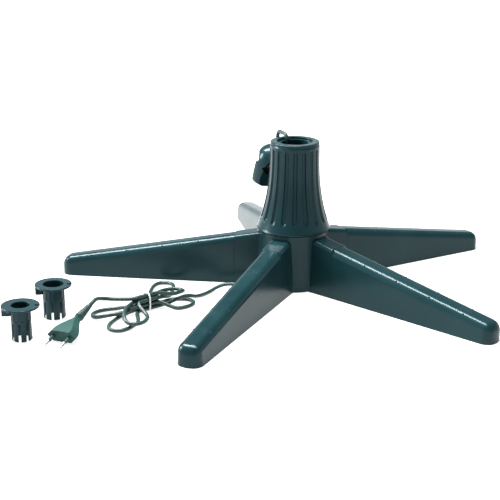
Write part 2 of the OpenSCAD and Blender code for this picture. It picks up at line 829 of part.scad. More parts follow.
module slip_ring_carrier() {
    color(natural) difference() {
        pipe(tube_r + carrier_t, tube_r + fit, carrier_z[0], carrier_z[1]);
        polar(cord_angle, tube_r) translate([-1, -groove_w / 2, carrier_z[1] - 3]) cube([3, groove_w, 4]);
    }
}

module slip_rings() {
    color(brass) for (z = slip_ring_z) pipe(slip_ring_r, tube_r + carrier_t + fit, z, z + slip_ring_h);
}

module brush_holder() {
    color(natural) polar(brush_angle, 0) difference() {
        translate([holder_r[0], -holder_w / 2, carrier_z[0]])
            cube([holder_r[1] - holder_r[0], holder_w, deck_z - carrier_z[0]]);
        translate([0, -holder_w, sleeve_z - 0.3]) cube([sleeve_r + 0.4, 2 * holder_w, 10]);
        for (z = slip_ring_z) translate([holder_r[0] - over, -brush_w / 2 - 0.1, z + 0.15])
            cube([spring_end - holder_r[0] + over, brush_w + 0.2, brush_h + 0.2]);
        for (y = [-4, 4]) translate([33, y, 0]) rod(pilot_r, deck_z - 6, deck_z + over);
    }
}

module brushes() {
    color(graphite) polar(brush_angle, 0) for (z = slip_ring_z) difference() {
        translate([slip_ring_r - 1, -brush_w / 2, z + 0.25])
            cube([brush_r[1] - slip_ring_r + 1, brush_w, brush_h]);
        rod(brush_r[0], z - over, z + 4);
    }
}

module brush_springs() {
    turns = 5;
    steps = 8;
    wire = 0.25;
    coil = 0.65;
    length = spring_end - brush_r[1] - 0.1;
    color(steel) for (z = slip_ring_z) polar(brush_angle, brush_r[1] + 0.05, z + 0.25 + brush_h / 2) {
        p = [for (i = [0:turns * steps]) let (a = 360 * i / steps)
            [wire + (length - 2 * wire) * i / (turns * steps), coil * cos(a), coil * sin(a)]];
        tube(p, wire, 5, [1, 0, 0]);
    }
}

module terminal_block() {
    color(natural) polar(mains_angle, 0) difference() {
        translate([24.5, -8, base_t]) cube([8.3, 16, 11]);
        for (y = [-4.5, 0, 4.5]) translate([27, y, base_t + 6]) rod(1.3, 0, 6);
    }
}

module supply_lead() {
    color(dark_green) polar(mains_angle, 0, cord_exit_z) rotate([0, 90, 0]) rod(cord_r, 32.8, boot_out_r);
}

module rotor_leads() {
    color(dark_green) for (s = [-1, 1]) polar(cord_angle, 0)
        tube([
            [tube_r - 1, s * lead_gap, lead_low], [tube_r - 1, s * lead_gap, lead_low + 18],
            [tube_r, s * lead_gap, lead_low + 22], [cord_run_r, s * lead_gap, lead_high - 3],
            [cord_run_r, s * lead_gap, lead_high]
        ], lead_r, 8, [0, 1, 0]);
}

// ----------------------------------------------------------------- outlet

// Frame of the outlet: top of its neck at the origin, its axis down along -Z
module outlet_frame() {
    polar(outlet_angle, outlet_top_r, outlet_top_z) rotate([0, -outlet_lean, 0])
        rotate([0, 0, 180 + outlet_twist]) children();
}

module output_cord() {
    out = [sin(outlet_lean), -cos(outlet_lean)];
    end = [outlet_top_r, outlet_top_z];
    turn_off = arc([0, arch_z], arch_r, outlet_lean, outlet_lean, 1)[0];
    far_r = end[0] - (turn_off[1] - end[1]) * tan(outlet_lean) - turn_off[0];
    rise = [
        [cord_run_r, lead_high], [cord_run_r, lead_high + 6], [cord_run_r, cord_shift_z[0] - 8],
        [cord_run_r, cord_shift_z[0] - 3], [cord_run_r - 0.8, cord_shift_z[0] + 2],
        [cord_in_r + 0.8, cord_shift_z[1] - 3], [cord_in_r, cord_shift_z[1]]
    ];
    flat = concat(
        rise, arc([cord_in_r + arch_r, arch_z], arch_r, 180, 90, 6),
        arc([far_r, arch_z], arch_r, 90, outlet_lean, 5), [end - 8 * out, end - 3 * out, end]
    );
    path = [for (p = flat) let (share = max(0, (p[0] - cord_run_r) / (end[0] - cord_run_r)))
        concat(pol(p[0], (outlet_angle - cord_angle) * share), [p[1]])];
    color(dark_green) polar(cord_angle, 0) tube(path, cord_r, 10, [0, 1, 0]);
}

// Slice of the bell between two heights below its top, with its three flats
module bell(from, to, profile) {
    difference() {
        rotate_extrude() intersection() {
            polygon(profile);
            translate([0, -to]) square([outlet_r + 1, to - from]);
        }
        for (i = [0:2]) rotate([0, 0, i * 120]) translate([outlet_flat_r, -outlet_r, -to - over])
            cube([outlet_r, 2 * outlet_r, to - from + 2 * over]);
    }
}

// Child on each of the three flats, looking out along +X, with its own height
module on_flats() {
    for (i = [0:2]) rotate([0, 0, i * 120]) translate([outlet_flat_r, 0, -socket_at - socket_shift[i]])
        children();
}

// Hexagonal front of a flat two-pin plug, long axis along Y
module plug_front(l, h) {
    point = h / 2;
    polygon([
        [-l / 2, 0], [-l / 2 + point, -h / 2], [l / 2 - point, -h / 2],
        [l / 2, 0], [l / 2 - point, h / 2], [-l / 2 + point, h / 2]
    ]);
}

module outlet_body() {
    color(green) outlet_frame() difference() {
        bell(crown_l + fit, foot_at - fit, bell_profile);
        on_flats() {
            translate([-recess_d, 0, 0]) rotate([90, 0, 90]) linear_extrude(height = recess_d + over)
                plug_front(recess_l, recess_h);
            for (s = [-1, 1]) translate([-recess_d, s * pin_pitch / 2, 0]) rotate([0, -90, 0])
                translate([0, 0, -over]) cylinder(r = pin_hole_r, h = pin_hole_d + over);
        }
    }
}

module outlet_neck() {
    color(green) outlet_frame() bell(0, crown_l, bell_profile);
}

module outlet_base() {
    color(green) outlet_frame() bell(foot_at, outlet_l, bell_profile);
}

module outlet_contacts() {
    color(brass) outlet_frame() on_flats() for (s = [-1, 1])
        translate([-recess_d - pin_hole_d + 0.2, s * pin_pitch / 2, 0]) rotate([0, 90, 0]) difference() {
            cylinder(r = pin_hole_r - 0.05, h = 9);
            translate([0, 0, 1]) cylinder(r = pin_hole_r - 0.05 - contact_wall, h = 9);
        }
}

// ------------------------------------------------------------- mains cord

module cord_boot() {
    color(dark_green) polar(mains_angle, 0, cord_exit_z) rotate([0, 90, 0]) rotate_extrude() polygon([
        [cord_r + fit, boot_in_r], [boot_flange_r, boot_in_r], [boot_flange_r, hub_in_r - 0.9],
        [exit_r - fit, hub_in_r - 0.9], [exit_r - fit, hub_r + 0.4], [boot_flange_r, hub_r + 0.4],
        [boot_flange_r, hub_r + 1.8], [5, hub_r + 2.6], [cord_r + 1, boot_out_r], [cord_r + fit, boot_out_r]
    ]);
}

function floor_points(p) = [for (q = p) [q[0], q[1], q[2] + cord_r]];
exit_dir = [cos(mains_angle), sin(mains_angle), 0];
boot_end = [pol(boot_out_r, mains_angle)[0], pol(boot_out_r, mains_angle)[1], cord_exit_z];

// Slots of the cord in the tied bundle
bundle_dir = [cos(bundle_angle), sin(bundle_angle), 0];
bundle_side = [-bundle_dir[1], bundle_dir[0], 0];
function slot_end(i, side) = let (s = bundle_slots[i])
    [tie_at[0], tie_at[1], cord_r + bundle_lift + s[1] * bundle_pitch]
        + side * bundle_half * bundle_dir + s[0] * bundle_pitch * bundle_side;

// Cubic from a to b with headings at both ends
function blend(a, ta, b, tb, steps) = [for (k = [0:steps - 1]) let (t = k / steps)
    (2 * t * t * t - 3 * t * t + 1) * a + (t * t * t - 2 * t * t + t) * ta
        + (3 * t * t - 2 * t * t * t) * b + (t * t * t - t * t) * tb];
function flat_gap(a, b) = norm([a[0] - b[0], a[1] - b[1]]);

// One loop and the pass through the tie after it, with steps on each quarter
function hank_loop(i, steps) = let (
    row = hank_loops[i], side = i % 2 == 0 ? 1 : -1,
    a = slot_end(i, side), b = slot_end(i + 1, side), c = slot_end(i + 1, -side),
    u = [cos(row[0]), sin(row[0]), 0], v = [-u[1], u[0], 0],
    m = [(a[0] + b[0]) / 2, (a[1] + b[1]) / 2, cord_r],
    out = side * bundle_dir,
    p1 = m + u * row[1] * 0.55 + v * row[2] + [0, 0, row[3]],
    p2 = m + u * row[1] + [0, 0, row[4]],
    p3 = m + u * row[1] * 0.55 - v * row[2] + [0, 0, row[5]],
    c1 = flat_gap(a, p1), c2 = flat_gap(p1, p2) * 1.15,
    c3 = flat_gap(p2, p3) * 1.15, c4 = flat_gap(p3, b)
) concat(
    blend(a, out * c1, p1, u * c1, steps),
    blend(p1, u * c2, p2, -v * c2, steps),
    blend(p2, -v * c3, p3, -u * c3, steps),
    blend(p3, -u * c4, b, -out * c4, steps),
    [for (t = [0:0.25:0.75]) b * (1 - t) + c * t]
);
hank_start = slot_end(0, -1);
hank_end = slot_end(len(hank_loops), len(hank_loops) % 2 == 0 ? 1 : -1);
function hank_line(steps) = concat(
    [for (t = [0:0.25:0.75]) hank_start * (1 - t) + slot_end(0, 1) * t],
    [for (i = [0:len(hank_loops) - 1]) each hank_loop(i, steps)],
    [hank_end]
);

// Least gap of a cord to itself, between points at least so many steps apart
function least_gap(p, apart) = min([for (i = [0:len(p) - apart - 1])
    min([for (j = [i + apart:len(p) - 1]) norm(p[i] - p[j])])]) - cord_d;

function on_floor(p) = [for (q = p) [q[0], q[1], max(q[2], cord_r)]];
mains_path = concat([boot_end, boot_end + cord_d * exit_dir], on_floor(spline(concat(
    [boot_end + 2 * cord_d * exit_dir], floor_points(mains_route),
    [hank_start - cord_d * bundle_dir]
), 3)), [hank_start]);

module mains_cord() {
    color(dark_green) tube(mains_path, cord_r, 10);
}

module cord_hank() {
    echo(least_gap_in_the_hank = least_gap(hank_line(5 * hank_rings), 12));
    color(dark_green) tube(hank_line(hank_rings), cord_r, 6);
}

module hank_tie() {
    w = bundle_pitch + cord_d + 1;
    h = bundle_slots[len(bundle_slots) - 1][1] * bundle_pitch + cord_d + bundle_lift + wire_gap + tie_wire;
    wire = tie_wire;
    color(white) translate([tie_at[0], tie_at[1], 0]) rotate([0, 0, bundle_angle]) {
        translate([-wire, 0, 0]) rotate([90, 0, 90]) linear_extrude(height = 2 * wire) difference() {
            tie_outline(w + 2 * wire, h);
            translate([0, wire]) tie_outline(w, h - 2 * wire);
        }
        translate([0, -w / 2, h * 0.6]) rotate([60, 0, 0]) cylinder(r = wire * 0.8, h = 9);
    }
}

// Upright rectangle with round corners, standing at Y = 0
module tie_outline(w, h) {
    r = 3;
    translate([-w / 2 + r, 0]) square([w - 2 * r, h]);
    translate([-w / 2, r]) square([w, h - 2 * r]);
    for (x = [-w / 2 + r, w / 2 - r]) for (y = [r, h - r]) translate([x, y]) circle(r = r);
}

// ------------------------------------------------------------------- plug

// Frame of the plug: middle of its tail at the origin, pins ahead along +X
module plug_frame() {
    translate(plug_at) rotate([0, 0, plug_heading]) rotate([0, plug_dip, 0]) rotate([plug_roll, 0, 0])
        children();
}

plug_dir = [cos(plug_heading) * cos(plug_dip), sin(plug_heading) * cos(plug_dip), -sin(plug_dip)];
plug_lead_path = concat([hank_end], on_floor(spline(concat(
    [hank_end + cord_d * bundle_dir], floor_points(plug_route),
    [plug_at - (plug_boot_l + 2 * cord_d) * plug_dir, plug_at - (plug_boot_l + cord_d) * plug_dir]
), 3)), [plug_at - plug_boot_l * plug_dir]);

module plug_lead() {
    color(dark_green) tube(plug_lead_path, cord_r, 10);
}

module plug_boot() {
    rings = 6;
    pitch = (plug_boot_l - 4) / rings;
    color(dark_green) plug_frame() rotate([0, -90, 0]) rotate_extrude() polygon(concat(
        [[0, 0], [boot_d / 2, 0]],
        [for (k = [0:rings - 1]) let (r = boot_d / 2 - (boot_d / 2 - cord_r - 0.8) * k / rings) each [
            [r, k * pitch + 0.4], [r, (k + 0.6) * pitch + 0.4],
            [r - 0.8, (k + 0.65) * pitch + 0.4], [r - 0.8, (k + 0.95) * pitch + 0.4]
        ]],
        [[cord_r + 0.7, plug_boot_l - 3], [cord_r + 0.4, plug_boot_l], [0, plug_boot_l]]
    ));
}

module plug_body() {
    color(dark_green) plug_frame() difference() {
        intersection() {
            rotate([90, 0, 90]) linear_extrude(height = plug_l) plug_front(plug_w, plug_h);
            translate([0, 0, -plug_h]) linear_extrude(height = 2 * plug_h) polygon([
                [0, -plug_tail_w / 2], [plug_l * 0.25, -plug_tail_w / 2 - 1.2],
                [plug_l * 0.6, -plug_w / 2 + 3.4], [plug_l * 0.8, -plug_w / 2 + 0.4],
                [plug_l, -plug_w / 2], [plug_l, plug_w / 2], [plug_l * 0.8, plug_w / 2 - 0.4],
                [plug_l * 0.6, plug_w / 2 - 3.4], [plug_l * 0.25, plug_tail_w / 2 + 1.2],
                [0, plug_tail_w / 2]
            ]);
            rotate([90, 0, 0]) linear_extrude(height = 2 * plug_w, center = true) polygon([
                [0, -plug_tail_h / 2], [plug_l * 0.5, -plug_h / 2], [plug_l, -plug_h / 2],
                [plug_l, plug_h / 2], [plug_l * 0.5, plug_h / 2], [0, plug_tail_h / 2]
            ]);
        }
        for (s = [-1, 1]) translate([plug_l - pin_root_l, s * pin_pitch / 2, 0]) rotate([0, 90, 0])
            cylinder(r = pin_root_r + fit / 5, h = pin_root_l + 2);
        for (s = [-1, 1]) for (k = [0:3]) translate([plug_l * 0.2 + 4 * k, -6, s * (plug_h / 2) - 0.4])
            cube([1.4, 12, 0.8]);
    }
}

module plug_pins() {
    shoulder = pin_root_l + 0.3;
    tip = pin_root_l + pin_l;
    color(steel) plug_frame() for (s = [-1, 1]) translate([plug_l - pin_root_l, s * pin_pitch / 2, 0])
        rotate([0, 90, 0]) rotate_extrude() polygon([
            [0, 0], [pin_root_r, 0], [pin_root_r, shoulder], [pin_r, shoulder], [pin_r, tip - 1],
            [pin_r - 0.3, tip - 0.4], [pin_r - 1.1, tip], [0, tip]
        ]);
}

// --------------------------------------------------------------- adapters

module adapter(bore) {
    out_r = bore + adapter_wall;
    lip = 0.5;
    color(green) difference() {
        union() {
            rotate_extrude() polygon([
                [0, 0], [out_r - 0.5, 0], [out_r + 0.2, 1], [out_r, adapter_slot_l + 1.5],
                [out_r, adapter_h - adapter_flange_t], [adapter_flange_r - 0.3, adapter_h - adapter_flange_t],
                [adapter_flange_r, adapter_h - adapter_flange_t + 0.3],
                [adapter_flange_r, adapter_h - 0.3], [adapter_flange_r - 0.3, adapter_h], [0, adapter_h]
            ]);
            polar(adapter_key_angle, 0)
                translate([out_r - 0.6, -adapter_key_w / 2, adapter_h - adapter_flange_t - adapter_key_h])
                cube([adapter_key_r - out_r + 0.6, adapter_key_w, adapter_key_h + 0.5]);
        }
        rotate_extrude() polygon([
            [0, -over], [bore + 0.6, -over], [bore + 0.3, 0.4], [bore + 0.15, adapter_slot_l + 0.8],
            [bore, adapter_slot_l + 0.8], [bore, adapter_h - 1], [bore + lip, adapter_h],
            [bore + lip, adapter_h + over], [0, adapter_h + over]
        ]);
        for (i = [0:adapter_slots - 1]) rotate([0, 0, adapter_slot_angle + i * 360 / adapter_slots])
            translate([bore - 1, -adapter_slot_w / 2, -over])
                cube([5, adapter_slot_w, adapter_slot_l + over]);
        polar(adapter_key_angle + 180, 0)
            translate([adapter_flange_r - 5.3, -2.25, adapter_h - adapter_flange_t - over])
            cube([6, 4.5, adapter_flange_t + 2 * over]);
        for (i = [0.5:adapter_slots]) rotate([0, 0, adapter_slot_angle + i * 360 / adapter_slots])
            translate([out_r - 0.6, -adapter_panel_w / 2, adapter_slot_l + 3])
                cube([2, adapter_panel_w, adapter_h - adapter_flange_t - adapter_slot_l - 6]);
    }
}

module adapter_19() {
    translate([adapter_at_19[0], adapter_at_19[1], 0]) adapter(adapter_19_r);
}

module adapter_22() {
    translate([adapter_at_22[0], adapter_at_22[1], 0]) adapter(adapter_22_r);
}

hub_body();
base_plate();
base_screws();
leg_node(0);  // leg_right
leg_node(1);  // leg_rear
leg_node(2);  // leg_left
leg_node(3);  // leg_front_left
leg_node(4);  // leg_front_right
journal_bush();
lower_race();
bearing_balls();
ball_cage();
upper_race();
motor_can();
motor_mount();
motor_screws();
motor_shaft();
drive_pinion();
drive_gear();
gear_screws();
rotor_cone();
cone_screws();
trunk_tube();
slip_ring_carrier();
slip_rings();
brush_holder();
brushes();
brush_springs();
terminal_block();
supply_lead();
rotor_leads();
output_cord();
outlet_neck();
outlet_body();
outlet_base();
outlet_contacts();
cord_boot();
mains_cord();
cord_hank();
hank_tie();
plug_lead();
plug_boot();
plug_body();
plug_pins();
adapter_19();
adapter_22();
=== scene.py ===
"""Looks of the rotating tree stand: skins, cords, small fittings and studio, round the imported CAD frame."""

import json
import logging
import math
from collections.abc import Iterable, Sequence
from dataclasses import dataclass, field
from enum import Enum

import bmesh
import bpy
from bmesh.types import BMEdge, BMesh, BMFace, BMVert
from bpy.types import ID, Material, Mesh, Node, NodeSocket, Object, World
from mathutils import Matrix, Vector


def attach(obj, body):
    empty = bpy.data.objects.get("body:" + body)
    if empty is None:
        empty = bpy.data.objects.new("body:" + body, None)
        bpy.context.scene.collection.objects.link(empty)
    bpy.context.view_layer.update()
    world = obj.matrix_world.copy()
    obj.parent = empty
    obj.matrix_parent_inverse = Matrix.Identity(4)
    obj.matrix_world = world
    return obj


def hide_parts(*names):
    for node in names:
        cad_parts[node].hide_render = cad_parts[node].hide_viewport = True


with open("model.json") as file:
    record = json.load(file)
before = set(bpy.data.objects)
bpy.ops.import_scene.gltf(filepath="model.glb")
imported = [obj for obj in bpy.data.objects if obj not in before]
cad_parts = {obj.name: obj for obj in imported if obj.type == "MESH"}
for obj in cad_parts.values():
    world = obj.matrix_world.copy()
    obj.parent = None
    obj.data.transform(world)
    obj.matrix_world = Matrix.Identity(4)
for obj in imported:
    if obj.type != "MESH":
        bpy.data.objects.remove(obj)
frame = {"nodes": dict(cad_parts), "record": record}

logging.basicConfig(level=logging.INFO, format="%(message)s")
log = logging.getLogger("tree_stand")

MM = 0.001
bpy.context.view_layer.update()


class Body(Enum):
    """Bodies of the frame that a piece may ride on."""

    STAND = "stand"
    TURNTABLE = "turntable"


class Slot(Enum):
    """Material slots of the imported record."""

    SHELL = "green_shell"
    CABLE = "green_cable"
    PLUG = "plug_plastic"
    BEARING = "bearing_steel"
    SCREW = "screw_steel"
    MOTOR = "motor_steel"
    NYLON = "natural_nylon"
    BRASS = "contact_brass"
    GRAPHITE = "brush_graphite"
    TIE = "tie_white"
    PIN = "pin_metal"


# --- shader maths


class Board:
    """The node tree of one material or surround, filled through one method."""

    def __init__(self, owner: Material | World) -> None:
        """Empties the owner's node tree.

        Args:
            owner: The material or surround.
        """
        self.owner = owner
        owner.use_nodes = True
        self.tree = owner.node_tree
        self.tree.nodes.clear()

    def add(
        self,
        kind: str,
        settings: dict[str, object] | None = None,
        inputs: dict[int | str, object] | None = None,
    ) -> Node:
        """Makes one node.

        Args:
            kind: Type of the node.
            settings: Properties, set first.
            inputs: Values or links of its sockets, by number or name.

        Returns:
            The node.
        """
        node = self.tree.nodes.new(kind)
        for key, value in (settings or {}).items():
            setattr(node, key, value)
        for key, value in (inputs or {}).items():
            socket = node.inputs[key]
            if isinstance(value, Signal):
                value = value.socket
            if isinstance(value, NodeSocket):
                self.tree.links.new(value, socket)
            elif isinstance(value, tuple) and len(value) == 3 and socket.type == "RGBA":
                socket.default_value = (*value, 1)
            else:
                socket.default_value = value
        return node

    def places(self, stretch: Sequence[float], turn: float) -> NodeSocket:
        """Object coordinates in metres, stretched, and turned about the vertical.

        Args:
            stretch: Scale along each axis.
            turn: Angle in radians.

        Returns:
            Their socket.
        """
        raw = self.add("ShaderNodeTexCoord").outputs["Object"]
        settings = {"vector_type": "POINT"}
        inputs = {"Vector": raw, "Scale": tuple(stretch), "Rotation": (0, 0, turn)}
        return self.add("ShaderNodeMapping", settings, inputs).outputs[0]

    def noise(
        self,
        size: float,
        detail: float = 3.0,
        rough: float = 0.55,
        warp: float = 0.0,
        stretch: Sequence[float] = (1, 1, 1),
        turn: float = 0.0,
    ) -> "Signal":
        """Noise from 0 to 1, whose features are about size metres across.

        Args:
            size: Size of its features.
            detail: Number of octaves.
            rough: Strength of the finer octaves.
            warp: Distortion.
            stretch: Scale along each axis.
            turn: Angle about the vertical, in radians.

        Returns:
            The noise.
        """
        inputs = {
            "Vector": self.places(stretch, turn),
            "Scale": 1 / size,
            "Detail": detail,
            "Roughness": rough,
            "Distortion": warp,
        }
        return Signal(self, self.add("ShaderNodeTexNoise", None, inputs).outputs[0])

    def upward(self) -> "Signal":
        """How far the surface faces up, from -1 to 1.

        Returns:
            The height of the surface's normal.
        """
        normal = self.add("ShaderNodeNewGeometry").outputs["Normal"]
        split = self.add("ShaderNodeSeparateXYZ", None, {0: normal})
        return Signal(self, split.outputs["Z"])

    def blend(self, share: "Signal", low: object, high: object) -> NodeSocket:
        """The colour low where share is 0 and high where it is 1."""
        settings = {"data_type": "RGBA", "clamp_factor": True}
        return self.add("ShaderNodeMix", settings, {0: share, 6: low, 7: high}).outputs[2]

    def relief(self, height: "Signal", depth: float, below: object = None) -> NodeSocket:
        """A normal for that relief, depth metres deep, on top of another one.

        Args:
            height: The relief, from 0 to 1.
            depth: Its depth in metres.
            below: Normal under it, if any.

        Returns:
            Socket of the normal.
        """
        inputs = {"Height": height, "Distance": depth, "Strength": 1.0}
        if below is not None:
            inputs["Normal"] = below
        return self.add("ShaderNodeBump", None, inputs).outputs[0]

    def finish(self, **sockets: object) -> Material:
        """Ends the tree in a Principled shader with those sockets, named with _ for a space.

        Args:
            **sockets: Values or links of the shader's sockets.

        Returns:
            The material.
        """
        named = {key.replace("_", " "): value for key, value in sockets.items()}
        shader = self.add("ShaderNodeBsdfPrincipled", None, named)
        self.add("ShaderNodeOutputMaterial", None, {"Surface": shader.outputs[0]})
        return self.owner


class Signal:
    """A number that varies over the surface, and joins Python expressions by adding Math nodes."""

    def __init__(self, board: Board, socket: NodeSocket) -> None:
        """Wraps a socket of that board."""
        self.board = board
        self.socket = socket

    def _math(self, operation: str, first: object, second: object) -> "Signal":
        """One Math node on two values."""
        node = self.board.add("ShaderNodeMath", {"operation": operation}, {0: first, 1: second})
        return Signal(self.board, node.outputs[0])

    def __add__(self, other: object) -> "Signal":
        """self + other."""
        return self._math("ADD", self, other)

    __radd__ = __add__

    def __mul__(self, other: object) -> "Signal":
        """self * other."""
        return self._math("MULTIPLY", self, other)

    __rmul__ = __mul__

    def between(self, low: float, high: float) -> "Signal":
        """0 at low and 1 at high, smoothly between them.

        Args:
            low: Value that gives 0.
            high: Value that gives 1.

        Returns:
            The share between them.
        """
        settings = {"interpolation_type": "SMOOTHSTEP", "clamp": True}
        node = self.board.add("ShaderNodeMapRange", settings, {0: self, 1: low, 2: high})
        return Signal(self.board, node.outputs[0])


# --- finishes

Colour = tuple[float, float, float]


@dataclass(frozen=True)
class MouldedPlastic:
    """Satin injection-moulded plastic: flow clouds, fine grain, light handling scuffs and settled dust."""

    name: str
    tint: Colour
    cloud: Colour
    scuff: Colour = (0.10, 0.15, 0.16)
    scuff_share: float = 0.02
    dust_share: float = 0.06
    rough: float = 0.23
    grain: float = 0.000006
    wave: float = 0.000025
    coat: float = 0.1
    coat_rough: float = 0.22
    gloss: float = 0.17
    gloss_tint: tuple[float, float, float, float] = (0.66, 0.92, 1.0, 1.0)

    def make(self) -> Material:
        """Builds the material.

        Returns:
            The material.
        """
        b = Board(bpy.data.materials.new(self.name))
        flow = b.noise(0.09, 2.0, 0.5, 0.8).between(0.3, 0.7)
        base = b.blend(flow, self.tint, self.cloud)
        hair = b.noise(0.0045, 4.0, 0.62, 0.2, (1, 9, 3), 0.5).between(0.66, 0.8)
        hair_2 = b.noise(0.005, 4.0, 0.62, 0.2, (8, 1, 3), 0.2).between(0.67, 0.82)
        handled = b.noise(0.05, 2.0, 0.5).between(0.5, 0.75)
        scuffs = (hair + hair_2) * handled * self.scuff_share
        dust = b.upward().between(0.6, 1.0) * b.noise(0.02, 5.0, 0.7).between(0.45, 0.9) * self.dust_share
        colour = b.blend(scuffs + dust, base, self.scuff)
        smear = b.noise(0.028, 4.0, 0.6, 0.6).between(0.3, 0.75)
        rough = self.rough + smear * 0.04 + scuffs * 0.3 + dust * 0.8
        grain = b.relief(b.noise(0.0005, 2.0, 0.6), self.grain)
        normal = b.relief(b.noise(0.03, 1.0, 0.4), self.wave, grain)
        return b.finish(
            Base_Color=colour,
            Roughness=rough,
            Normal=normal,
            IOR=1.5,
            Coat_Weight=self.coat,
            Coat_Roughness=self.coat_rough,
            Specular_IOR_Level=self.gloss,
            Specular_Tint=self.gloss_tint,
        )


@dataclass(frozen=True)
class CableSheath:
    """Soft cable sheath: slightly mottled, with the fine drag marks of its extrusion."""

    name: str
    tint: Colour
    pale: Colour
    rough: float = 0.36

    def make(self) -> Material:
        """Builds the material.

        Returns:
            The material.
        """
        b = Board(bpy.data.materials.new(self.name))
        clouds = b.noise(0.012, 3.0, 0.55).between(0.25, 0.8)
        rubbed = b.noise(0.0016, 3.0, 0.6).between(0.6, 0.85)
        colour = b.blend(clouds * 0.5 + rubbed * 0.4, self.tint, self.pale)
        drag = b.noise(0.0011, 2.0, 0.5, 0.3)
        normal = b.relief(drag, 0.00003, b.relief(b.noise(0.004, 1.0), 0.00006))
        rough = self.rough + clouds * 0.08 + rubbed * 0.1
        return b.finish(Base_Color=colour, Roughness=rough, Normal=normal, IOR=1.48)


@dataclass(frozen=True)
class WorkedMetal:
    """Turned, drawn or plated metal: fine lines across one axis and tarnish."""

    name: str
    tint: Colour
    dull: Colour
    rough: float = 0.22
    lines: Sequence[float] = (1, 1, 14)

    def make(self) -> Material:
        """Builds the material.

        Returns:
            The material.
        """
        b = Board(bpy.data.materials.new(self.name))
        tarnish = b.noise(0.006, 4.0, 0.6, 0.4).between(0.4, 0.8)
        lines = b.noise(0.0012, 3.0, 0.6, 0.0, self.lines)
        colour = b.blend(tarnish * 0.7 + lines * 0.2, self.tint, self.dull)
        rough = self.rough + lines * 0.12 + tarnish * 0.15
        normal = b.relief(lines, 0.000012)
        return b.finish(Base_Color=colour, Roughness=rough, Normal=normal, Metallic=1.0)


@dataclass(frozen=True)
class MilkyNylon:
    """Undyed nylon: milky, slightly yellow in thick places, with a dull moulded skin."""

    name: str
    tint: Colour = (0.70, 0.68, 0.58)
    warm: Colour = (0.58, 0.53, 0.40)

    def make(self) -> Material:
        """Builds the material.

        Returns:
            The material.
        """
        b = Board(bpy.data.materials.new(self.name))
        clouds = b.noise(0.012, 3.0, 0.5, 0.5).between(0.3, 0.75)
        marks = b.noise(0.0009, 3.0, 0.6)
        colour = b.blend(clouds, self.tint, self.warm)
        rough = 0.38 + clouds * 0.08 + marks * 0.08
        normal = b.relief(marks, 0.00002)
        return b.finish(Base_Color=colour, Roughness=rough, Normal=normal, IOR=1.53, Subsurface_Weight=0.12)


@dataclass(frozen=True)
class PressedCarbon:
    """Pressed graphite of the brushes, with a burnished face."""

    name: str

    def make(self) -> Material:
        """Builds the material.

        Returns:
            The material.
        """
        b = Board(bpy.data.materials.new(self.name))
        grit = b.noise(0.0006, 4.0, 0.7)
        colour = b.blend(grit.between(0.35, 0.75), (0.012, 0.012, 0.014), (0.05, 0.05, 0.055))
        normal = b.relief(grit, 0.00004)
        return b.finish(Base_Color=colour, Roughness=0.42 + grit * 0.2, Normal=normal, Metallic=0.35)


@dataclass(frozen=True)
class CoatedWire:
    """White plastic-coated tie wire, a little soiled by handling."""

    name: str

    def make(self) -> Material:
        """Builds the material.

        Returns:
            The material.
        """
        b = Board(bpy.data.materials.new(self.name))
        soil = b.noise(0.003, 3.0, 0.6).between(0.4, 0.85)
        colour = b.blend(soil * 0.4, (0.80, 0.82, 0.82), (0.55, 0.56, 0.55))
        normal = b.relief(b.noise(0.0008, 2.0), 0.00003)
        return b.finish(Base_Color=colour, Roughness=0.35 + soil * 0.15, Normal=normal, IOR=1.5)


@dataclass(frozen=True)
class PaleGround:
    """Matt white floor of the studio, which glows a little by itself so that shadows stay faint."""

    name: str
    glow: float = 0.86

    def make(self) -> Material:
        """Builds the material.

        Returns:
            The material.
        """
        b = Board(bpy.data.materials.new(self.name))
        clouds = b.noise(0.8, 2.0)
        colour = b.blend(clouds, (0.30, 0.30, 0.30), (0.32, 0.32, 0.32))
        return b.finish(
            Base_Color=colour,
            Roughness=0.9 + clouds * 0.02,
            Specular_IOR_Level=0.1,
            Emission_Color=(1, 1, 1),
            Emission_Strength=self.glow,
        )


class Finishes:
    """All finishes of the stand, each made once."""

    def __init__(self) -> None:
        """Makes the finish of every slot, and the floor's."""
        plug_tints = (0.015, 0.052, 0.045), (0.020, 0.060, 0.052)
        recipes = {
            Slot.SHELL: MouldedPlastic("satin_bottle_green", (0.004, 0.020, 0.024), (0.007, 0.027, 0.031)),
            Slot.PLUG: MouldedPlastic("plug_green", *plug_tints, rough=0.42, coat=0.05),
            Slot.CABLE: CableSheath("cable_green", (0.010, 0.034, 0.030), (0.022, 0.060, 0.054)),
            Slot.BEARING: WorkedMetal("bearing_steel", (0.62, 0.63, 0.65), (0.40, 0.40, 0.41), 0.14, (1, 1, 1)),
            Slot.SCREW: WorkedMetal("zinc_steel", (0.60, 0.61, 0.60), (0.42, 0.42, 0.38), 0.3),
            Slot.MOTOR: WorkedMetal("drawn_steel", (0.50, 0.51, 0.52), (0.33, 0.33, 0.34), 0.26),
            Slot.NYLON: MilkyNylon("natural_nylon"),
            Slot.BRASS: WorkedMetal("contact_brass", (0.72, 0.52, 0.20), (0.42, 0.28, 0.11), 0.24),
            Slot.GRAPHITE: PressedCarbon("brush_graphite"),
            Slot.TIE: CoatedWire("tie_white"),
            Slot.PIN: WorkedMetal("nickel_pin", (0.66, 0.64, 0.60), (0.45, 0.43, 0.40), 0.2),
        }
        self.made = {slot: recipe.make() for slot, recipe in recipes.items()}
        self.ground = PaleGround("studio_floor").make()

    def __getitem__(self, slot: Slot) -> Material:
        """The finish of a material slot."""
        return self.made[slot]


# --- studio

Point = tuple[float, float, float]


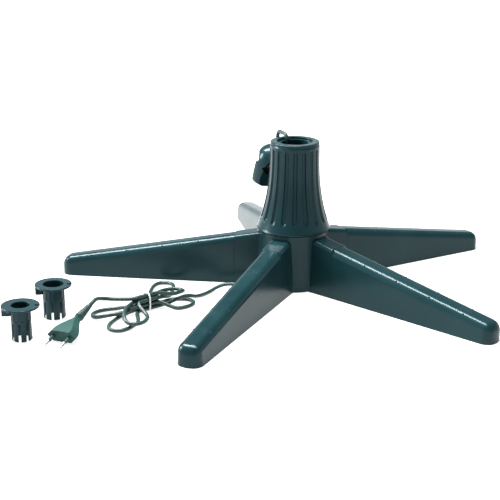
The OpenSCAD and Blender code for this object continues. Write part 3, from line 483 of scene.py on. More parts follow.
def link(name: str, data: ID) -> Object:
    """A new object with that data, linked to the scene.

    Args:
        name: Name of the object.
        data: Its mesh, curve, light or camera.

    Returns:
        The object.
    """
    piece = bpy.data.objects.new(name, data)
    bpy.context.scene.collection.objects.link(piece)
    return piece


@dataclass(frozen=True)
class Panel:
    """One soft rectangular light, in metres and watts, aimed at the stand."""

    name: str
    place: Point
    size: tuple[float, float]
    power: float
    aim: Point = (0, 0, 0.05)

    def build(self) -> None:
        """Hangs the light."""
        data = bpy.data.lights.new(self.name, "AREA")
        data.shape, data.energy = "RECTANGLE", self.power
        data.size, data.size_y = self.size
        place = Vector(self.place)
        turn = (Vector(self.aim) - place).to_track_quat("-Z", "Y").to_matrix().to_4x4()
        link(self.name, data).matrix_world = Matrix.Translation(place) @ turn


@dataclass
class Studio:
    """Camera of the photograph, floor and soft light."""

    eye: Vector = field(default_factory=lambda: Vector((-0.3212, -1.2685, 0.4738)))
    aim: Vector = field(default_factory=lambda: Vector((-0.0509, 0.0108, 0.0393)))
    roll: float = 0.40
    focal_px: float = 1135.4
    photo_px: float = 500.0
    sensor: float = 36.0
    floor_half: float = 6.0
    sky: tuple[float, float, float, float] = (0.95, 0.97, 1.0, 1)
    sky_heights: tuple[float, float] = (0.22, 0.46)
    sky_strengths: tuple[float, float] = (1.0, 0.14)
    panels: tuple[Panel, ...] = (
        Panel("key_panel", (-0.42, 0.4, 2.05), (0.34, 2.0), 175),
        Panel("side_panel", (-1.9, 0.75, 1.05), (0.5, 0.9), 62),
    )

    def camera(self) -> None:
        """Places the camera at the photograph's viewpoint."""
        data = bpy.data.cameras.new("photo_camera")
        data.sensor_width = self.sensor
        data.lens = self.sensor * self.focal_px / self.photo_px
        data.clip_start, data.clip_end = 0.05, 50
        camera = link("photo_camera", data)
        turn = (self.aim - self.eye).to_track_quat("-Z", "Y").to_matrix()
        turn = turn @ Matrix.Rotation(math.radians(self.roll), 3, "Z")
        camera.matrix_world = Matrix.Translation(self.eye) @ turn.to_4x4()
        bpy.context.scene.camera = camera

    def floor(self, finish: Material) -> None:
        """A wide plain floor under the stand.

        Args:
            finish: Its material.
        """
        bm = bmesh.new()
        bmesh.ops.create_grid(bm, x_segments=1, y_segments=1, size=self.floor_half)
        floor = link("floor", to_mesh(bm, "floor"))
        floor.data.materials.append(finish)

    def light(self) -> None:
        """A surround that is white near the horizon and dim overhead, and two panels."""
        b = Board(bpy.data.worlds.new("surround"))
        place = b.add("ShaderNodeTexCoord").outputs["Generated"]
        height = b.add("ShaderNodeSeparateXYZ", None, {0: place}).outputs["Z"]
        inputs = dict(enumerate((height, *self.sky_heights, *self.sky_strengths)))
        rise = b.add("ShaderNodeMapRange", {"interpolation_type": "SMOOTHSTEP"}, inputs).outputs[0]
        glow = b.add("ShaderNodeBackground", None, {"Color": self.sky, "Strength": rise}).outputs[0]
        b.add("ShaderNodeOutputWorld", None, {"Surface": glow})
        bpy.context.scene.world = b.owner
        bpy.context.scene.view_settings.view_transform = "Standard"
        for panel in self.panels:
            panel.build()


# --- mesh workshop


@dataclass
class Assembly:
    """A sub-assembly, dressed in the stand's finishes; its sizes are in millimetres, its angles in degrees."""

    finishes: Finishes

    def settle(self, piece: Object, body: Body, slot: Slot, *nodes: str) -> Object:
        """Gives a piece the finish of its slot and its body, and hides what it stands for.

        Args:
            piece: The piece.
            body: Body that it rides on.
            slot: Material slot of the record that it takes its finish from.
            *nodes: CAD nodes that it stands for.

        Returns:
            The piece.
        """
        piece.data.materials.append(self.finishes[slot])
        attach(piece, body.value)
        if nodes:
            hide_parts(*nodes)
        log.info("%s: on %s, for %s", piece.name, body.value, ", ".join(nodes) or "no node")
        return piece

    def solid(self, name: str, mesh: Mesh, body: Body, slot: Slot, *nodes: str) -> Object:
        """Puts a finished mesh in the scene, as settle does a piece."""
        return self.settle(link(name, mesh), body, slot, *nodes)

    def tube(
        self, name: str, strands: Iterable[Sequence[Vector]], radius: float, sides: int,
        body: Body, slot: Slot, *nodes: str,
    ) -> Object:
        """Puts round strands in the scene, as one curve object.

        Args:
            name: Name of the piece.
            strands: Points of each strand, in millimetres.
            radius: Radius of every strand, in millimetres.
            sides: Bevel resolution of the round section.
            body: Body that it rides on.
            slot: Its material slot.
            *nodes: CAD nodes that it stands for.

        Returns:
            The piece.
        """
        curve = bpy.data.curves.new(name, "CURVE")
        curve.dimensions, curve.use_fill_caps = "3D", True
        curve.bevel_depth, curve.bevel_resolution = radius * MM, sides
        for points in strands:
            line = curve.splines.new("POLY")
            line.points.add(len(points) - 1)
            for place, p in zip(line.points, points):
                place.co = (*(p * MM), 1)
            line.use_smooth = True
        return self.settle(link(name, curve), body, slot, *nodes)


def to_mesh(bm: BMesh, name: str, crease: float = 35.0) -> Mesh:
    """Turns a bmesh into a mesh that is smooth, but for edges that bend by more than crease degrees.

    Args:
        bm: The bmesh, freed here.
        name: Name of the mesh.
        crease: Angle from which an edge is sharp.

    Returns:
        The mesh.
    """
    bound = math.radians(crease)
    for face in bm.faces:
        face.smooth = True
    for edge in bm.edges:
        edge.smooth = len(edge.link_faces) == 2 and edge.calc_face_angle() < bound
    mesh = bpy.data.meshes.new(name)
    bm.to_mesh(mesh)
    bm.free()
    return mesh


def spun(outline: Iterable[tuple[float, float]], steps: int, closed: bool = False) -> BMesh:
    """Spins an outline of radii and heights in millimetres about the vertical.

    Args:
        outline: The radii and heights.
        steps: Facets in a full turn.
        closed: Whether the outline returns to its start.

    Returns:
        The surface.
    """
    bm = bmesh.new()
    verts = [bm.verts.new((r * MM, 0, z * MM)) for r, z in outline]
    edges = [bm.edges.new(pair) for pair in zip(verts, verts[1:] + (verts[:1] if closed else []))]
    bmesh.ops.spin(
        bm, geom=verts + edges, cent=(0, 0, 0), axis=(0, 0, 1), dvec=(0, 0, 0),
        angle=math.tau, steps=steps, use_merge=True, use_duplicate=False,
    )
    return bm


def round_edges(bm: BMesh, edges: list[BMEdge], offset: float, segments: int) -> None:
    """Rounds edges, offset millimetres wide on both sides.

    Args:
        bm: The bmesh that they are in.
        edges: The edges.
        offset: Width on each side.
        segments: Facets across the rounding.
    """
    bmesh.ops.bevel(
        bm, geom=edges, offset=offset * MM, offset_type="OFFSET", segments=segments, profile=0.5,
        affect="EDGES", clamp_overlap=True, material=-1,
    )


def sharp_edges(bm: BMesh, crease: float) -> list[BMEdge]:
    """Edges between two faces that bend by more than crease degrees."""
    return [e for e in bm.edges if len(e.link_faces) == 2 and e.calc_face_angle() > math.radians(crease)]


def heading(degrees: float, dip: float = 0.0) -> Vector:
    """Unit vector at that angle round the vertical, dipping below the horizontal."""
    a, d = math.radians(degrees), math.radians(dip)
    return Vector((math.cos(a) * math.cos(d), math.sin(a) * math.cos(d), -math.sin(d)))


def posed(at: Vector, *turns: tuple[float, str]) -> Matrix:
    """The matrix of a place and the turns at it.

    Args:
        at: The place, in millimetres.
        *turns: Degrees and axis of each turn, the outermost first.

    Returns:
        The matrix.
    """
    found = Matrix.Translation(at * MM)
    for degrees, axis in turns:
        found = found @ Matrix.Rotation(math.radians(degrees), 4, axis)
    return found


def add_rod(
    bm: BMesh, radius: float, low: float, high: float, side: float, at: Matrix = Matrix()
) -> list[BMVert]:
    """Adds a round rod in millimetres, parallel to the X axis of at and side off it.

    Args:
        bm: The bmesh that takes it.
        radius: Its radius.
        low: Its start along X.
        high: Its end along X.
        side: How far it lies along Y.
        at: Frame that it is placed in.

    Returns:
        Its vertices.
    """
    turn = at @ posed(Vector(((low + high) / 2, side, 0)), (90, "Y"))
    return bmesh.ops.create_cone(
        bm, cap_ends=True, segments=24, radius1=radius * MM, radius2=radius * MM,
        depth=(high - low) * MM, matrix=turn,
    )["verts"]


def six_corners(wide: float, high: float) -> list[tuple[float, float]]:
    """Corners of the flat six-sided section that the plug and its sockets share."""
    upper = [(wide / 2, 0), ((wide - high) / 2, high / 2), ((high - wide) / 2, high / 2)]
    return upper + [(-y, -z) for y, z in upper]


# --- cords


def spline(points: Sequence[Vector], steps: int) -> list[Vector]:
    """Points of the uniform Catmull-Rom curve through points, whose ends are mirrored.

    Args:
        points: Points that it passes.
        steps: Points in each span.

    Returns:
        The points.
    """
    ends = [points[0] * 2 - points[1], *points, points[-1] * 2 - points[-2]]
    found = []
    for a, b, c, d in zip(ends, ends[1:], ends[2:], ends[3:]):
        found += hermite(b, (c - a) / 2, c, (d - b) / 2, steps)
    return [*found, points[-1]]


def hermite(a: Vector, ta: Vector, b: Vector, tb: Vector, steps: int) -> list[Vector]:
    """Points from a towards b, with the headings ta and tb; b itself is left out.

    Args:
        a: The start.
        ta: Heading and pull at the start.
        b: The end.
        tb: Heading and pull at the end.
        steps: How many points.

    Returns:
        The points.
    """
    found = []
    for k in range(steps):
        t = k / steps
        found.append(
            (2 * t**3 - 3 * t**2 + 1) * a
            + (t**3 - 2 * t**2 + t) * ta
            + (3 * t**2 - 2 * t**3) * b
            + (t**3 - t**2) * tb
        )
    return found


def length_of(points: Sequence[Vector]) -> float:
    """Length in metres of the line through points in millimetres."""
    return sum((b - a).length for a, b in zip(points, points[1:])) * MM


@dataclass
class MainsCord(Assembly):
    """The mains cord from the hub through its tied hank to the plug, as one length."""

    plug: "Plug"
    diameter: float = 4.5
    exit_angle: float = 198.0
    exit_r: float = 64.0
    exit_z: float = 8.0
    tie: Point = (-186.0, -66.0, 0.0)
    bundle_angle: float = 207.0
    bundle_half: float = 10.0
    bundle_lift: float = 1.4
    bundle_pitch: float = 5.1
    slots: tuple = ((0.5, 0), (-0.5, 0), (0.5, 1), (-0.5, 1), (0.5, 2), (-0.5, 2), (0, 2.95))
    loops: tuple = (
        (236.9, 63.1, 13.5, 0, 0, 0),
        (11.6, 46.7, 14.5, 0, 0, 0),
        (185.7, 54.1, 15, 5, 0, 0),
        (73.6, 80.8, 12.8, 0, 0, 0.8),
        (255.3, 53, 12.7, 3.6, 5.3, 10.1),
        (39.8, 44.9, 13.6, 8, 8, 12.8),
    )
    out_route: tuple = (
        (-84.5, -15, 4.5), (-96.3, -17, 2.4), (-109.6, -26.8, 0), (-124.4, -41.1, 1.9),
        (-136.9, -48.5, 6.1), (-147.7, -54.7, 6.3), (-159.4, -58.5, 3.3), (-165.4, -59.6, 2),
    )
    plug_route: tuple = (
        (-208, -72.7, 15.8), (-223.7, -64.5, 13.9), (-235.7, -66.2, 15.9), (-243.2, -76.6, 20),
    )
    plug_boot: float = 25.0
    loop_shoulder: float = 0.55
    loop_pull: float = 1.15
    loop_steps: int = 12
    route_steps: int = 6
    pass_steps: int = 4
    sides: int = 5

    def __post_init__(self) -> None:
        """Works out the directions that the route needs."""
        self.radius = self.diameter / 2
        self.along = heading(self.bundle_angle)
        self.across = Vector((-self.along.y, self.along.x, 0))
        self.exit_dir = heading(self.exit_angle)
        self.boot_end = self.exit_dir * self.exit_r + Vector((0, 0, self.exit_z))
        self.plug_dir = heading(self.plug.angle, self.plug.dip)

    def slot_end(self, i: int, side: int) -> Vector:
        """End of the cord's i-th pass through the tie.

        Args:
            i: Number of the pass.
            side: 1 or -1, along the bundle.

        Returns:
            The end.
        """
        column, layer = self.slots[i]
        middle = Vector((self.tie[0], self.tie[1], self.radius + self.bundle_lift + layer * self.bundle_pitch))
        return middle + side * self.bundle_half * self.along + column * self.bundle_pitch * self.across

    def through_tie(self, start: Vector, end: Vector) -> list[Vector]:
        """One straight pass through the tie, without its end."""
        return [start.lerp(end, t / self.pass_steps) for t in range(self.pass_steps)]

    def loop(self, i: int) -> list[Vector]:
        """One loop of the hank and the pass through the tie after it.

        Args:
            i: Number of the loop.

        Returns:
            Its points.
        """
        angle, length, half, z1, z2, z3 = self.loops[i]
        side = 1 if i % 2 == 0 else -1
        a, b, c = self.slot_end(i, side), self.slot_end(i + 1, side), self.slot_end(i + 1, -side)
        u = heading(angle)
        v = Vector((-u.y, u.x, 0))
        m = (a + b) / 2
        m.z = self.radius
        shoulder = m + u * length * self.loop_shoulder
        p1 = shoulder + v * half + Vector((0, 0, z1))
        p2 = m + u * length + Vector((0, 0, z2))
        p3 = shoulder - v * half + Vector((0, 0, z3))
        away = self.along * side
        stops = ((a, away), (p1, u), (p2, -v), (p3, -u), (b, -away))
        pulls = (1, self.loop_pull, self.loop_pull, 1)
        found = []
        for (start, out), (end, into), pull in zip(stops, stops[1:], pulls):
            chord = (end - start).xy.length * pull
            found += hermite(start, out * chord, end, into * chord, self.loop_steps)
        return found + self.through_tie(b, c)

    def on_floor(self, points: Iterable[Vector]) -> list[Vector]:
        """The points, none lower than the cord lies on the floor."""
        return [Vector((p.x, p.y, max(p.z, self.radius))) for p in points]

    def path(self) -> list[Vector]:
        """The whole cord's centreline, in millimetres.

        Returns:
            Its points, from the hub to the plug.
        """
        lift = Vector((0, 0, self.radius))
        d = self.diameter
        start, end = self.slot_end(0, -1), self.slot_end(len(self.loops), 1)
        out = [Vector(p) + lift for p in self.out_route]
        route = [self.boot_end + 2 * d * self.exit_dir, *out, start - d * self.along]
        run = [self.boot_end, self.boot_end + d * self.exit_dir]
        run += self.on_floor(spline(route, self.route_steps))
        hank = self.through_tie(start, self.slot_end(0, 1))
        for i in range(len(self.loops)):
            hank += self.loop(i)
        boot = Vector(self.plug.at) - self.plug_boot * self.plug_dir
        into = [Vector(p) + lift for p in self.plug_route]
        route = [end + d * self.along, *into, boot - 2 * d * self.plug_dir, boot - d * self.plug_dir]
        lead = [end, *self.on_floor(spline(route, self.route_steps)), boot]
        return run + hank + lead

    def build(self) -> None:
        """Makes the cord as one curve."""
        points = self.path()
        nodes = ("mains_cord", "cord_hank", "plug_lead")
        look = (self.radius, self.sides, Body.STAND, Slot.CABLE)
        self.piece = self.tube("mains_cord_run", [points], *look, *nodes)
        self.length = length_of(points)
        self.exit = tuple(points[0] * MM)
        log.info("mains cord: %.3f m", self.length)

    def declare(self, fittings: Sequence[object]) -> None:
        """Args:
            fittings: Names of the pieces on it; not used.
        """


@dataclass
class OutputCord(Assembly):
    """The lead from the slip rings over the rim of the cone to the outlet."""

    outlet: "OutletBell"
    diameter: float = 4.5
    angle: float = 108.0
    arch_r: float = 5.5
    arch_z: float = 173.5
    arch_steps: int = 8
    rise: tuple = ((21.6, 84), (21.6, 90), (21.6, 140), (21.6, 145), (20.8, 150), (19.2, 158), (18.4, 161))
    run_in: tuple = (8, 3, 0)
    sides: int = 5

    def corner(self, middle_r: float, start: float, end: float, steps: int) -> list[tuple[float, float]]:
        """A rounded corner of the arch, from start to end degrees."""
        turns = [math.radians(start + (end - start) * k / steps) for k in range(steps + 1)]
        return [(middle_r + self.arch_r * math.cos(a), self.arch_z + self.arch_r * math.sin(a)) for a in turns]

    def path(self) -> list[Vector]:
        """Its centreline, in millimetres: up inside the tube, a square arch, down to the outlet.

        Returns:
            Its points.
        """
        tilt, (reach, low) = self.outlet.lean, self.outlet.top
        lean = math.radians(tilt)
        out = (math.sin(lean), -math.cos(lean))
        off = (self.arch_r * math.cos(lean), self.arch_z + self.arch_r * math.sin(lean))
        near = self.rise[-1][0] + self.arch_r
        far = reach - (off[1] - low) * math.tan(lean) - off[0]
        flat = [*self.rise, *self.corner(near, 180, 90, self.arch_steps)]
        flat += self.corner(far, 90, tilt, self.arch_steps - 1)
        flat += [(reach - back * out[0], low - back * out[1]) for back in self.run_in]
        foot = self.rise[0][0]
        points = []
        for r, z in flat:
            share = max(0, (r - foot) / (reach - foot))
            angle = self.angle + (self.outlet.angle - self.angle) * share
            points.append(heading(angle) * r + Vector((0, 0, z)))
        return points

    def build(self) -> None:
        points = self.path()
        look = (self.diameter / 2, self.sides, Body.TURNTABLE, Slot.CABLE)
        piece = self.tube("outlet_lead", [points], *look, "output_cord")
        length = length_of(points)
        tuple(points[0] * MM)
        log.info("outlet lead: %.3f m", length)


# --- skins


def finished_mesh(piece: Object) -> Mesh:
    """Mesh of an object with its modifiers applied; the object itself is removed.

    Args:
        piece: The object.

    Returns:
        Its mesh.
    """
    graph = bpy.context.evaluated_depsgraph_get()
    mesh = bpy.data.meshes.new_from_object(piece.evaluated_get(graph), depsgraph=graph)
    mesh.name = piece.name
    bpy.data.objects.remove(piece)
    return mesh


def even_shading(piece: Object) -> None:
    """Lets the flat faces of a piece keep their own shade beside its rounded edges.

    Args:
        piece: The piece.
    """
    mod = piece.modifiers.new("even_shading", "WEIGHTED_NORMAL")
    mod.keep_sharp = True
    mod.weight = 60


@dataclass
class Skin(Assembly):
    """A finer copy of a CAD node: merged, its flat facets joined and its sharp edges rounded."""

    node: str
    body: Body
    slot: Slot
    edge: float
    segments: int = 2
    crease: float = 30.0
    merge: float = 0.004
    flat: float = 0.6
    shade_angle: float = 40.0

    def build(self) -> None:
        """Makes the skin and hides the node under it."""
        bm = bmesh.new()
        bm.from_mesh(frame["nodes"][self.node].data)
        bmesh.ops.remove_doubles(bm, verts=bm.verts, dist=self.merge * MM)
        bmesh.ops.dissolve_limit(
            bm, angle_limit=math.radians(self.flat), use_dissolve_boundaries=False,
            verts=bm.verts, edges=bm.edges,
        )
        round_edges(bm, sharp_edges(bm, self.crease), self.edge, self.segments)
        name = self.node + "_skin"
        mesh = to_mesh(bm, name, self.shade_angle)
        even_shading(self.solid(name, mesh, self.body, self.slot, self.node))


# --- legs


def box(bm: BMesh, low: Sequence[float], high: Sequence[float]) -> list[BMVert]:
    """Adds a block between two corners in millimetres.

    Args:
        bm: The bmesh that takes it.
        low: Its low corner.
        high: Its high corner.

    Returns:
        Its vertices.
    """
    verts = bmesh.ops.create_cube(bm, size=1)["verts"]
    for v in verts:
        v.co = Vector(high[k] if v.co[k] > 0 else low[k] for k in range(3)) * MM
    return verts


@dataclass
class Leg(Assembly):
    """One plug-in leg: a sloping shell with rounded edges, ribs and the tongue that enters the hub."""

    names: tuple[str, ...] = ("leg_right", "leg_rear", "leg_left", "leg_front_left", "leg_front_right")
    first_angle: float = 18.0
    step: float = 72.0
    reach: float = 285.0
    seam: float = 70.0
    root_h: float = 58.8
    tip_h: float = 21.2
    width: float = 26.4
    draft: float = 3.0
    edge_r: float = 8.6
    tip_r: float = 9.5
    corner_r: float = 6.4
    seam_r: float = 0.4
    nose_r: float = 21.0
    nose_cuts: int = 3
    wall: float = 2.5
    rib_pitch: float = 44.0
    rib_t: float = 2.0
    rib_lift: float = 6.0
    rib_sink: float = 1.5
    rib_taper: float = 1.5
    last_rib: float = 20.0
    catch_low: Point = (55, -4.7, 0.9)
    catch_high: Point = (61.6, 4.7, 4.1)
    slack: float = 0.4
    tongue_start: float = 48.0
    tongue_gap: float = 3.1
    tongue_wall: float = 2.2
    edge_segments: int = 7
    shell_shade: float = 60.0
    shade_angle: float = 45.0

    def top(self, x: float) -> float:
        """Height of the top line at x millimetres from the axis."""
        return self.root_h - (self.root_h - self.tip_h) * (x - self.seam) / (self.reach - self.seam)

    def half(self, x: float, z: float) -> float:
        """Half of the width at that place."""
        return self.width / 2 + (self.top(x) - z) * math.tan(math.radians(self.draft))

    def nose(self, y: float) -> float:
        """Distance of the bowed nose from the axis, y millimetres off the middle."""
        return self.reach - self.nose_r + math.sqrt(self.nose_r**2 - y**2)

    def wedge(self, start: float, drop: float, low: float) -> BMesh:
        """A block under the top line from start to the nose, drawn in by drop.

        Args:
            start: Where it starts, from the axis.
            drop: How far it is drawn in.
            low: Height of its underside.

        Returns:
            The block.
        """
        bm = bmesh.new()
        tip = self.half(self.reach, 0)
        for v in bmesh.ops.create_cube(bm, size=1)["verts"]:
            x = self.nose(tip) if v.co.x > 0 else start
            z = self.top(x) - drop if v.co.z > 0 else low
            v.co = Vector((x, math.copysign(self.half(x, z) - drop, v.co.y), z)) * MM
        return bm

    def outer(self) -> Mesh:
        """The shell: block, bowed nose, rounded edges, open below.

        Returns:
            The shell's mesh.
        """
        bm = self.wedge(self.seam, 0, 0)
        front = max(bm.faces, key=lambda f: f.calc_center_median().x)
        rungs = [e for e in front.edges if abs(e.verts[0].co.z - e.verts[1].co.z) < MM]
        bmesh.ops.subdivide_edges(bm, edges=rungs, cuts=self.nose_cuts, use_grid_fill=True)
        far = (self.nose(self.half(self.reach, 0)) - self.slack) * MM
        for v in bm.verts:
            if v.co.x > far:
                x = self.nose(abs(v.co.y) / MM)
                v.co.x = x * MM
                if v.co.z > MM:
                    v.co.z = self.top(x) * MM
        weights = bm.edges.layers.float.new("bevel_weight_edge")
        for e in bm.edges:
            a, b = e.verts
            high = min(a.co.z, b.co.z) > MM
            nose = min(a.co.x, b.co.x) > far
            side = abs(abs(a.co.y) - self.half(self.reach, 0) * MM) < 2 * MM
            if high and nose:
                e[weights] = 1
            elif high and max(a.co.x, b.co.x) > far:
                e[weights] = self.edge_r / self.tip_r
            elif nose and side and abs(a.co.z - b.co.z) > MM:
                e[weights] = self.corner_r / self.tip_r
            elif max(a.co.x, b.co.x) < (self.seam + 1) * MM and max(a.co.z, b.co.z) > MM:
                e[weights] = self.seam_r / self.tip_r
        under = [f for f in bm.faces if f.normal.z < -0.99]
        bmesh.ops.delete(bm, geom=under, context="FACES_ONLY")
        piece = link("leg_shell", to_mesh(bm, "leg_shell", self.shell_shade))
        bevel = piece.modifiers.new("round", "BEVEL")
        bevel.limit_method, bevel.width, bevel.segments = "WEIGHT", self.tip_r * MM, self.edge_segments
        bevel.use_clamp_overlap = False
        wall = piece.modifiers.new("wall", "SOLIDIFY")
        wall.thickness, wall.offset = self.wall * MM, -1
        return finished_mesh(piece)

    def build(self) -> None:
        """Makes the five legs."""
        bm = bmesh.new()
        bm.from_mesh(self.outer())
        x = self.seam + self.rib_pitch
        while x < self.reach - self.last_rib:
            z = self.top(x) - self.rib_sink
            y = self.half(x, self.rib_lift) - self.rib_sink
            for v in box(bm, (x, -y, self.rib_lift), (x + self.rib_t, y, z)):
                if v.co.z > (self.rib_lift + self.slack) * MM:
                    v.co.y = math.copysign((self.half(x, z) - self.rib_sink - self.rib_taper) * MM, v.co.y)
            x += self.rib_pitch
        gap = self.tongue_gap
        tongue = self.wedge(self.tongue_start, gap, gap)
        for v in tongue.verts:
            if v.co.x > self.seam * MM:
                z = self.top(self.seam + 1) - gap if v.co.z > 2 * gap * MM else gap
                y = math.copysign(self.half(self.seam, z) - gap, v.co.y)
                v.co = Vector((self.seam + 1, y, z)) * MM
        ends = [f for f in tongue.faces if abs(f.normal.x) > 0.9]
        bmesh.ops.delete(tongue, geom=ends, context="FACES_ONLY")
        bmesh.ops.solidify(tongue, geom=tongue.faces, thickness=self.tongue_wall * MM)
        bm.from_mesh(to_mesh(tongue, "leg_tongue"))
        box(bm, self.catch_low, self.catch_high)
        whole = to_mesh(bm, "leg_whole", self.shade_angle)
        for i, name in enumerate(self.names):
            mesh = whole.copy()
            mesh.name = name + "_shell"
            mesh.transform(Matrix.Rotation(math.radians(self.first_angle + i * self.step), 4, "Z"))
            even_shading(self.solid(name + "_shell", mesh, Body.STAND, Slot.SHELL, name))


# --- cone


@dataclass
class FlutedCone(Assembly):
    """The flared turning cone: one spun wall with round-ended flutes pressed into it."""

    band_z: float = 71.0
    rim_r: float = 44.4
    neck_r: float = 29.3
    neck_z: float = 165.0
    flare: float = 2.5
    wall: float = 5.0
    wall_heights: tuple = (166, 150, 135, 120, 105, 92, 84, 78)
    foot: tuple = ((39.2, 70.3), (43.8, 70.3), (44.2, 70.45), (44.4, 70.8), (44.25, 71))
    foot_inset: float = 0.4
    rim: tuple = (
        (0, 170.3), (0.05, 170.5), (0.3, 170.7), (0.3, 173.9), (0.4, 174.4), (0.8, 174.85), (1.3, 175),
    )
    bore: tuple = ((21.3, 175), (21.05, 174.9), (21, 174.6), (21, 170), (19.1, 170), (19.1, 166))
    seat: tuple = ((24, 78), (24, 75), (39.2, 75))
    wall_low: float = 71.6
    wall_high: float = 169.4
    flutes: int = 18
    first_flute: float = 18.0
    flute_width: float = 9.0
    flute_depth: float = 2.0
    flute_low: float = 81.3
    flute_high: float = 168.0
    flute_flank: float = 0.62
    soft: float = 0.35
    past: float = 1.0
    skin: float = 0.5
    shade_angle: float = 62.0
    rings: int = 64
    steps: int = 540

    def radius(self, z: float) -> float:
        """Outside radius at a height."""
        share = max(self.neck_z - z, 0) / (self.neck_z - self.band_z)
        return self.neck_r + (self.rim_r - self.foot_inset - self.neck_r) * share**self.flare

    def profile(self) -> list[tuple[float, float]]:
        """Radius and height of the wall's closed outline, from the foot up and back inside.

        Returns:
            The outline.
        """
        step = (self.wall_high - self.wall_low) / self.rings
        heights = [self.wall_low + step * k for k in range(self.rings + 1)]
        outside = [(self.radius(z), z) for z in heights]
        rim = [(self.neck_r - inset, z) for inset, z in self.rim]
        inside = [(self.radius(z) - self.wall, z) for z in self.wall_heights]
        return [*self.foot, *outside, *rim, *self.bore, *inside, *self.seat]

    def depth(self, angle: float, r: float, z: float) -> float:
        """How deep a flute is at that place.

        Args:
            angle: Degrees round the axis.
            r: Radius of the surface.
            z: Height.

        Returns:
            The depth, 0 outside the flutes.
        """
        pitch = 360 / self.flutes
        off = abs((angle - self.first_flute + pitch / 2) % pitch - pitch / 2)
        along = math.radians(off) * r
        half = r * math.tan(math.radians(self.flute_width / 2))
        low = self.flute_low + half
        high = self.flute_high - self.neck_r * math.tan(math.radians(self.flute_width / 2))
        past = max(low - z, z - high, 0)
        inset = half - math.hypot(along, past)
        if inset <= 0:
            return 0
        share = min(1, inset / (half * self.flute_flank))
        return self.flute_depth * math.sqrt(1 - (1 - share) ** 2) * min(1, inset / self.soft)

    def build(self) -> None:
        """Spins the outline and presses the flutes in."""
        bm = spun(self.profile(), self.steps, closed=True)
        for v in bm.verts:
            z, r = v.co.z / MM, v.co.xy.length / MM
            beside = self.flute_low - self.past < z < self.flute_high + self.past
            if beside and r > self.radius(z) - self.skin:
                cut = self.depth(math.degrees(math.atan2(v.co.y, v.co.x)), r, z)
                v.co.xy *= (r - cut) / r
        bmesh.ops.recalc_face_normals(bm, faces=bm.faces)
        mesh = to_mesh(bm, "fluted_cone", self.shade_angle)
        self.solid("fluted_cone", mesh, Body.TURNTABLE, Slot.SHELL, "rotor_cone")


# --- wire tie


@dataclass
class WireTie(Assembly):
    """White coated wire wound round the hank, its two ends twisted together."""

    hank: MainsCord
    width: float = 11.6
    height: float = 22.4
    squareness: float = 3.2
    wire: float = 0.62
    sides: int = 3
    ring_turns: int = 2
    ring_steps: int = 48
    ring_spread: float = 1.7
    tail: float = 9.0
    tail_turns: float = 3.0
    tail_steps: int = 32
    tail_height: float = 0.62
    tail_rise: float = 0.55
    tail_out: float = 0.9
    tail_along: float = 0.2
    twist_r: float = 0.95
    open_r: float = 1.3
    open_from: float = 0.85

    def ring(self) -> list[Vector]:
        """The turns round the hank, nearly square in section.

        Returns:
            The points.
        """
        along, across, base = self.hank.along, self.hank.across, Vector(self.hank.tie)
        last = self.ring_turns * self.ring_steps
        found = []
        for k in range(last + 1):
            a = math.tau * (k / self.ring_steps - 0.25)
            c, s = math.cos(a), math.sin(a)
            grow = 1 / (abs(c) ** self.squareness + abs(s) ** self.squareness) ** (1 / self.squareness)
            z = self.height / 2 + (self.height / 2 - self.wire) * s * grow
            aside = across * (self.width / 2 * c * grow) + along * ((k / last - 0.5) * self.ring_spread)
            found.append(base + aside + Vector((0, 0, z)))
        return found

    def strand(self, phase: float) -> list[Vector]:
        """One of the two ends, twisted round the other and open at the tip.

        Args:
            phase: Angle at which its twist starts.

        Returns:
            The points.
        """
        along, across, base = self.hank.along, self.hank.across, Vector(self.hank.tie)
        root = base - across * (self.width / 2 + self.wire) + Vector((0, 0, self.height * self.tail_height))
        out = (Vector((0, 0, self.tail_rise)) - across * self.tail_out + along * self.tail_along).normalized()
        up = out.cross(along)
        found = []
        for k in range(self.tail_steps + 1):
            t = k / self.tail_steps
            a = phase + math.tau * self.tail_turns * t
            r = self.wire * (self.twist_r if t < self.open_from else self.open_r)
            found.append(root + out * self.tail * t + (along * math.cos(a) + up * math.sin(a)) * r)
        return found

    def build(self) -> None:
        """Makes the turns and the twisted tails as one curve object."""
        strands = [self.strand(0), self.strand(math.pi), self.ring()]
        self.tube("wire_tie", strands, self.wire, self.sides, Body.STAND, Slot.TIE, "hank_tie")


# --- outlet


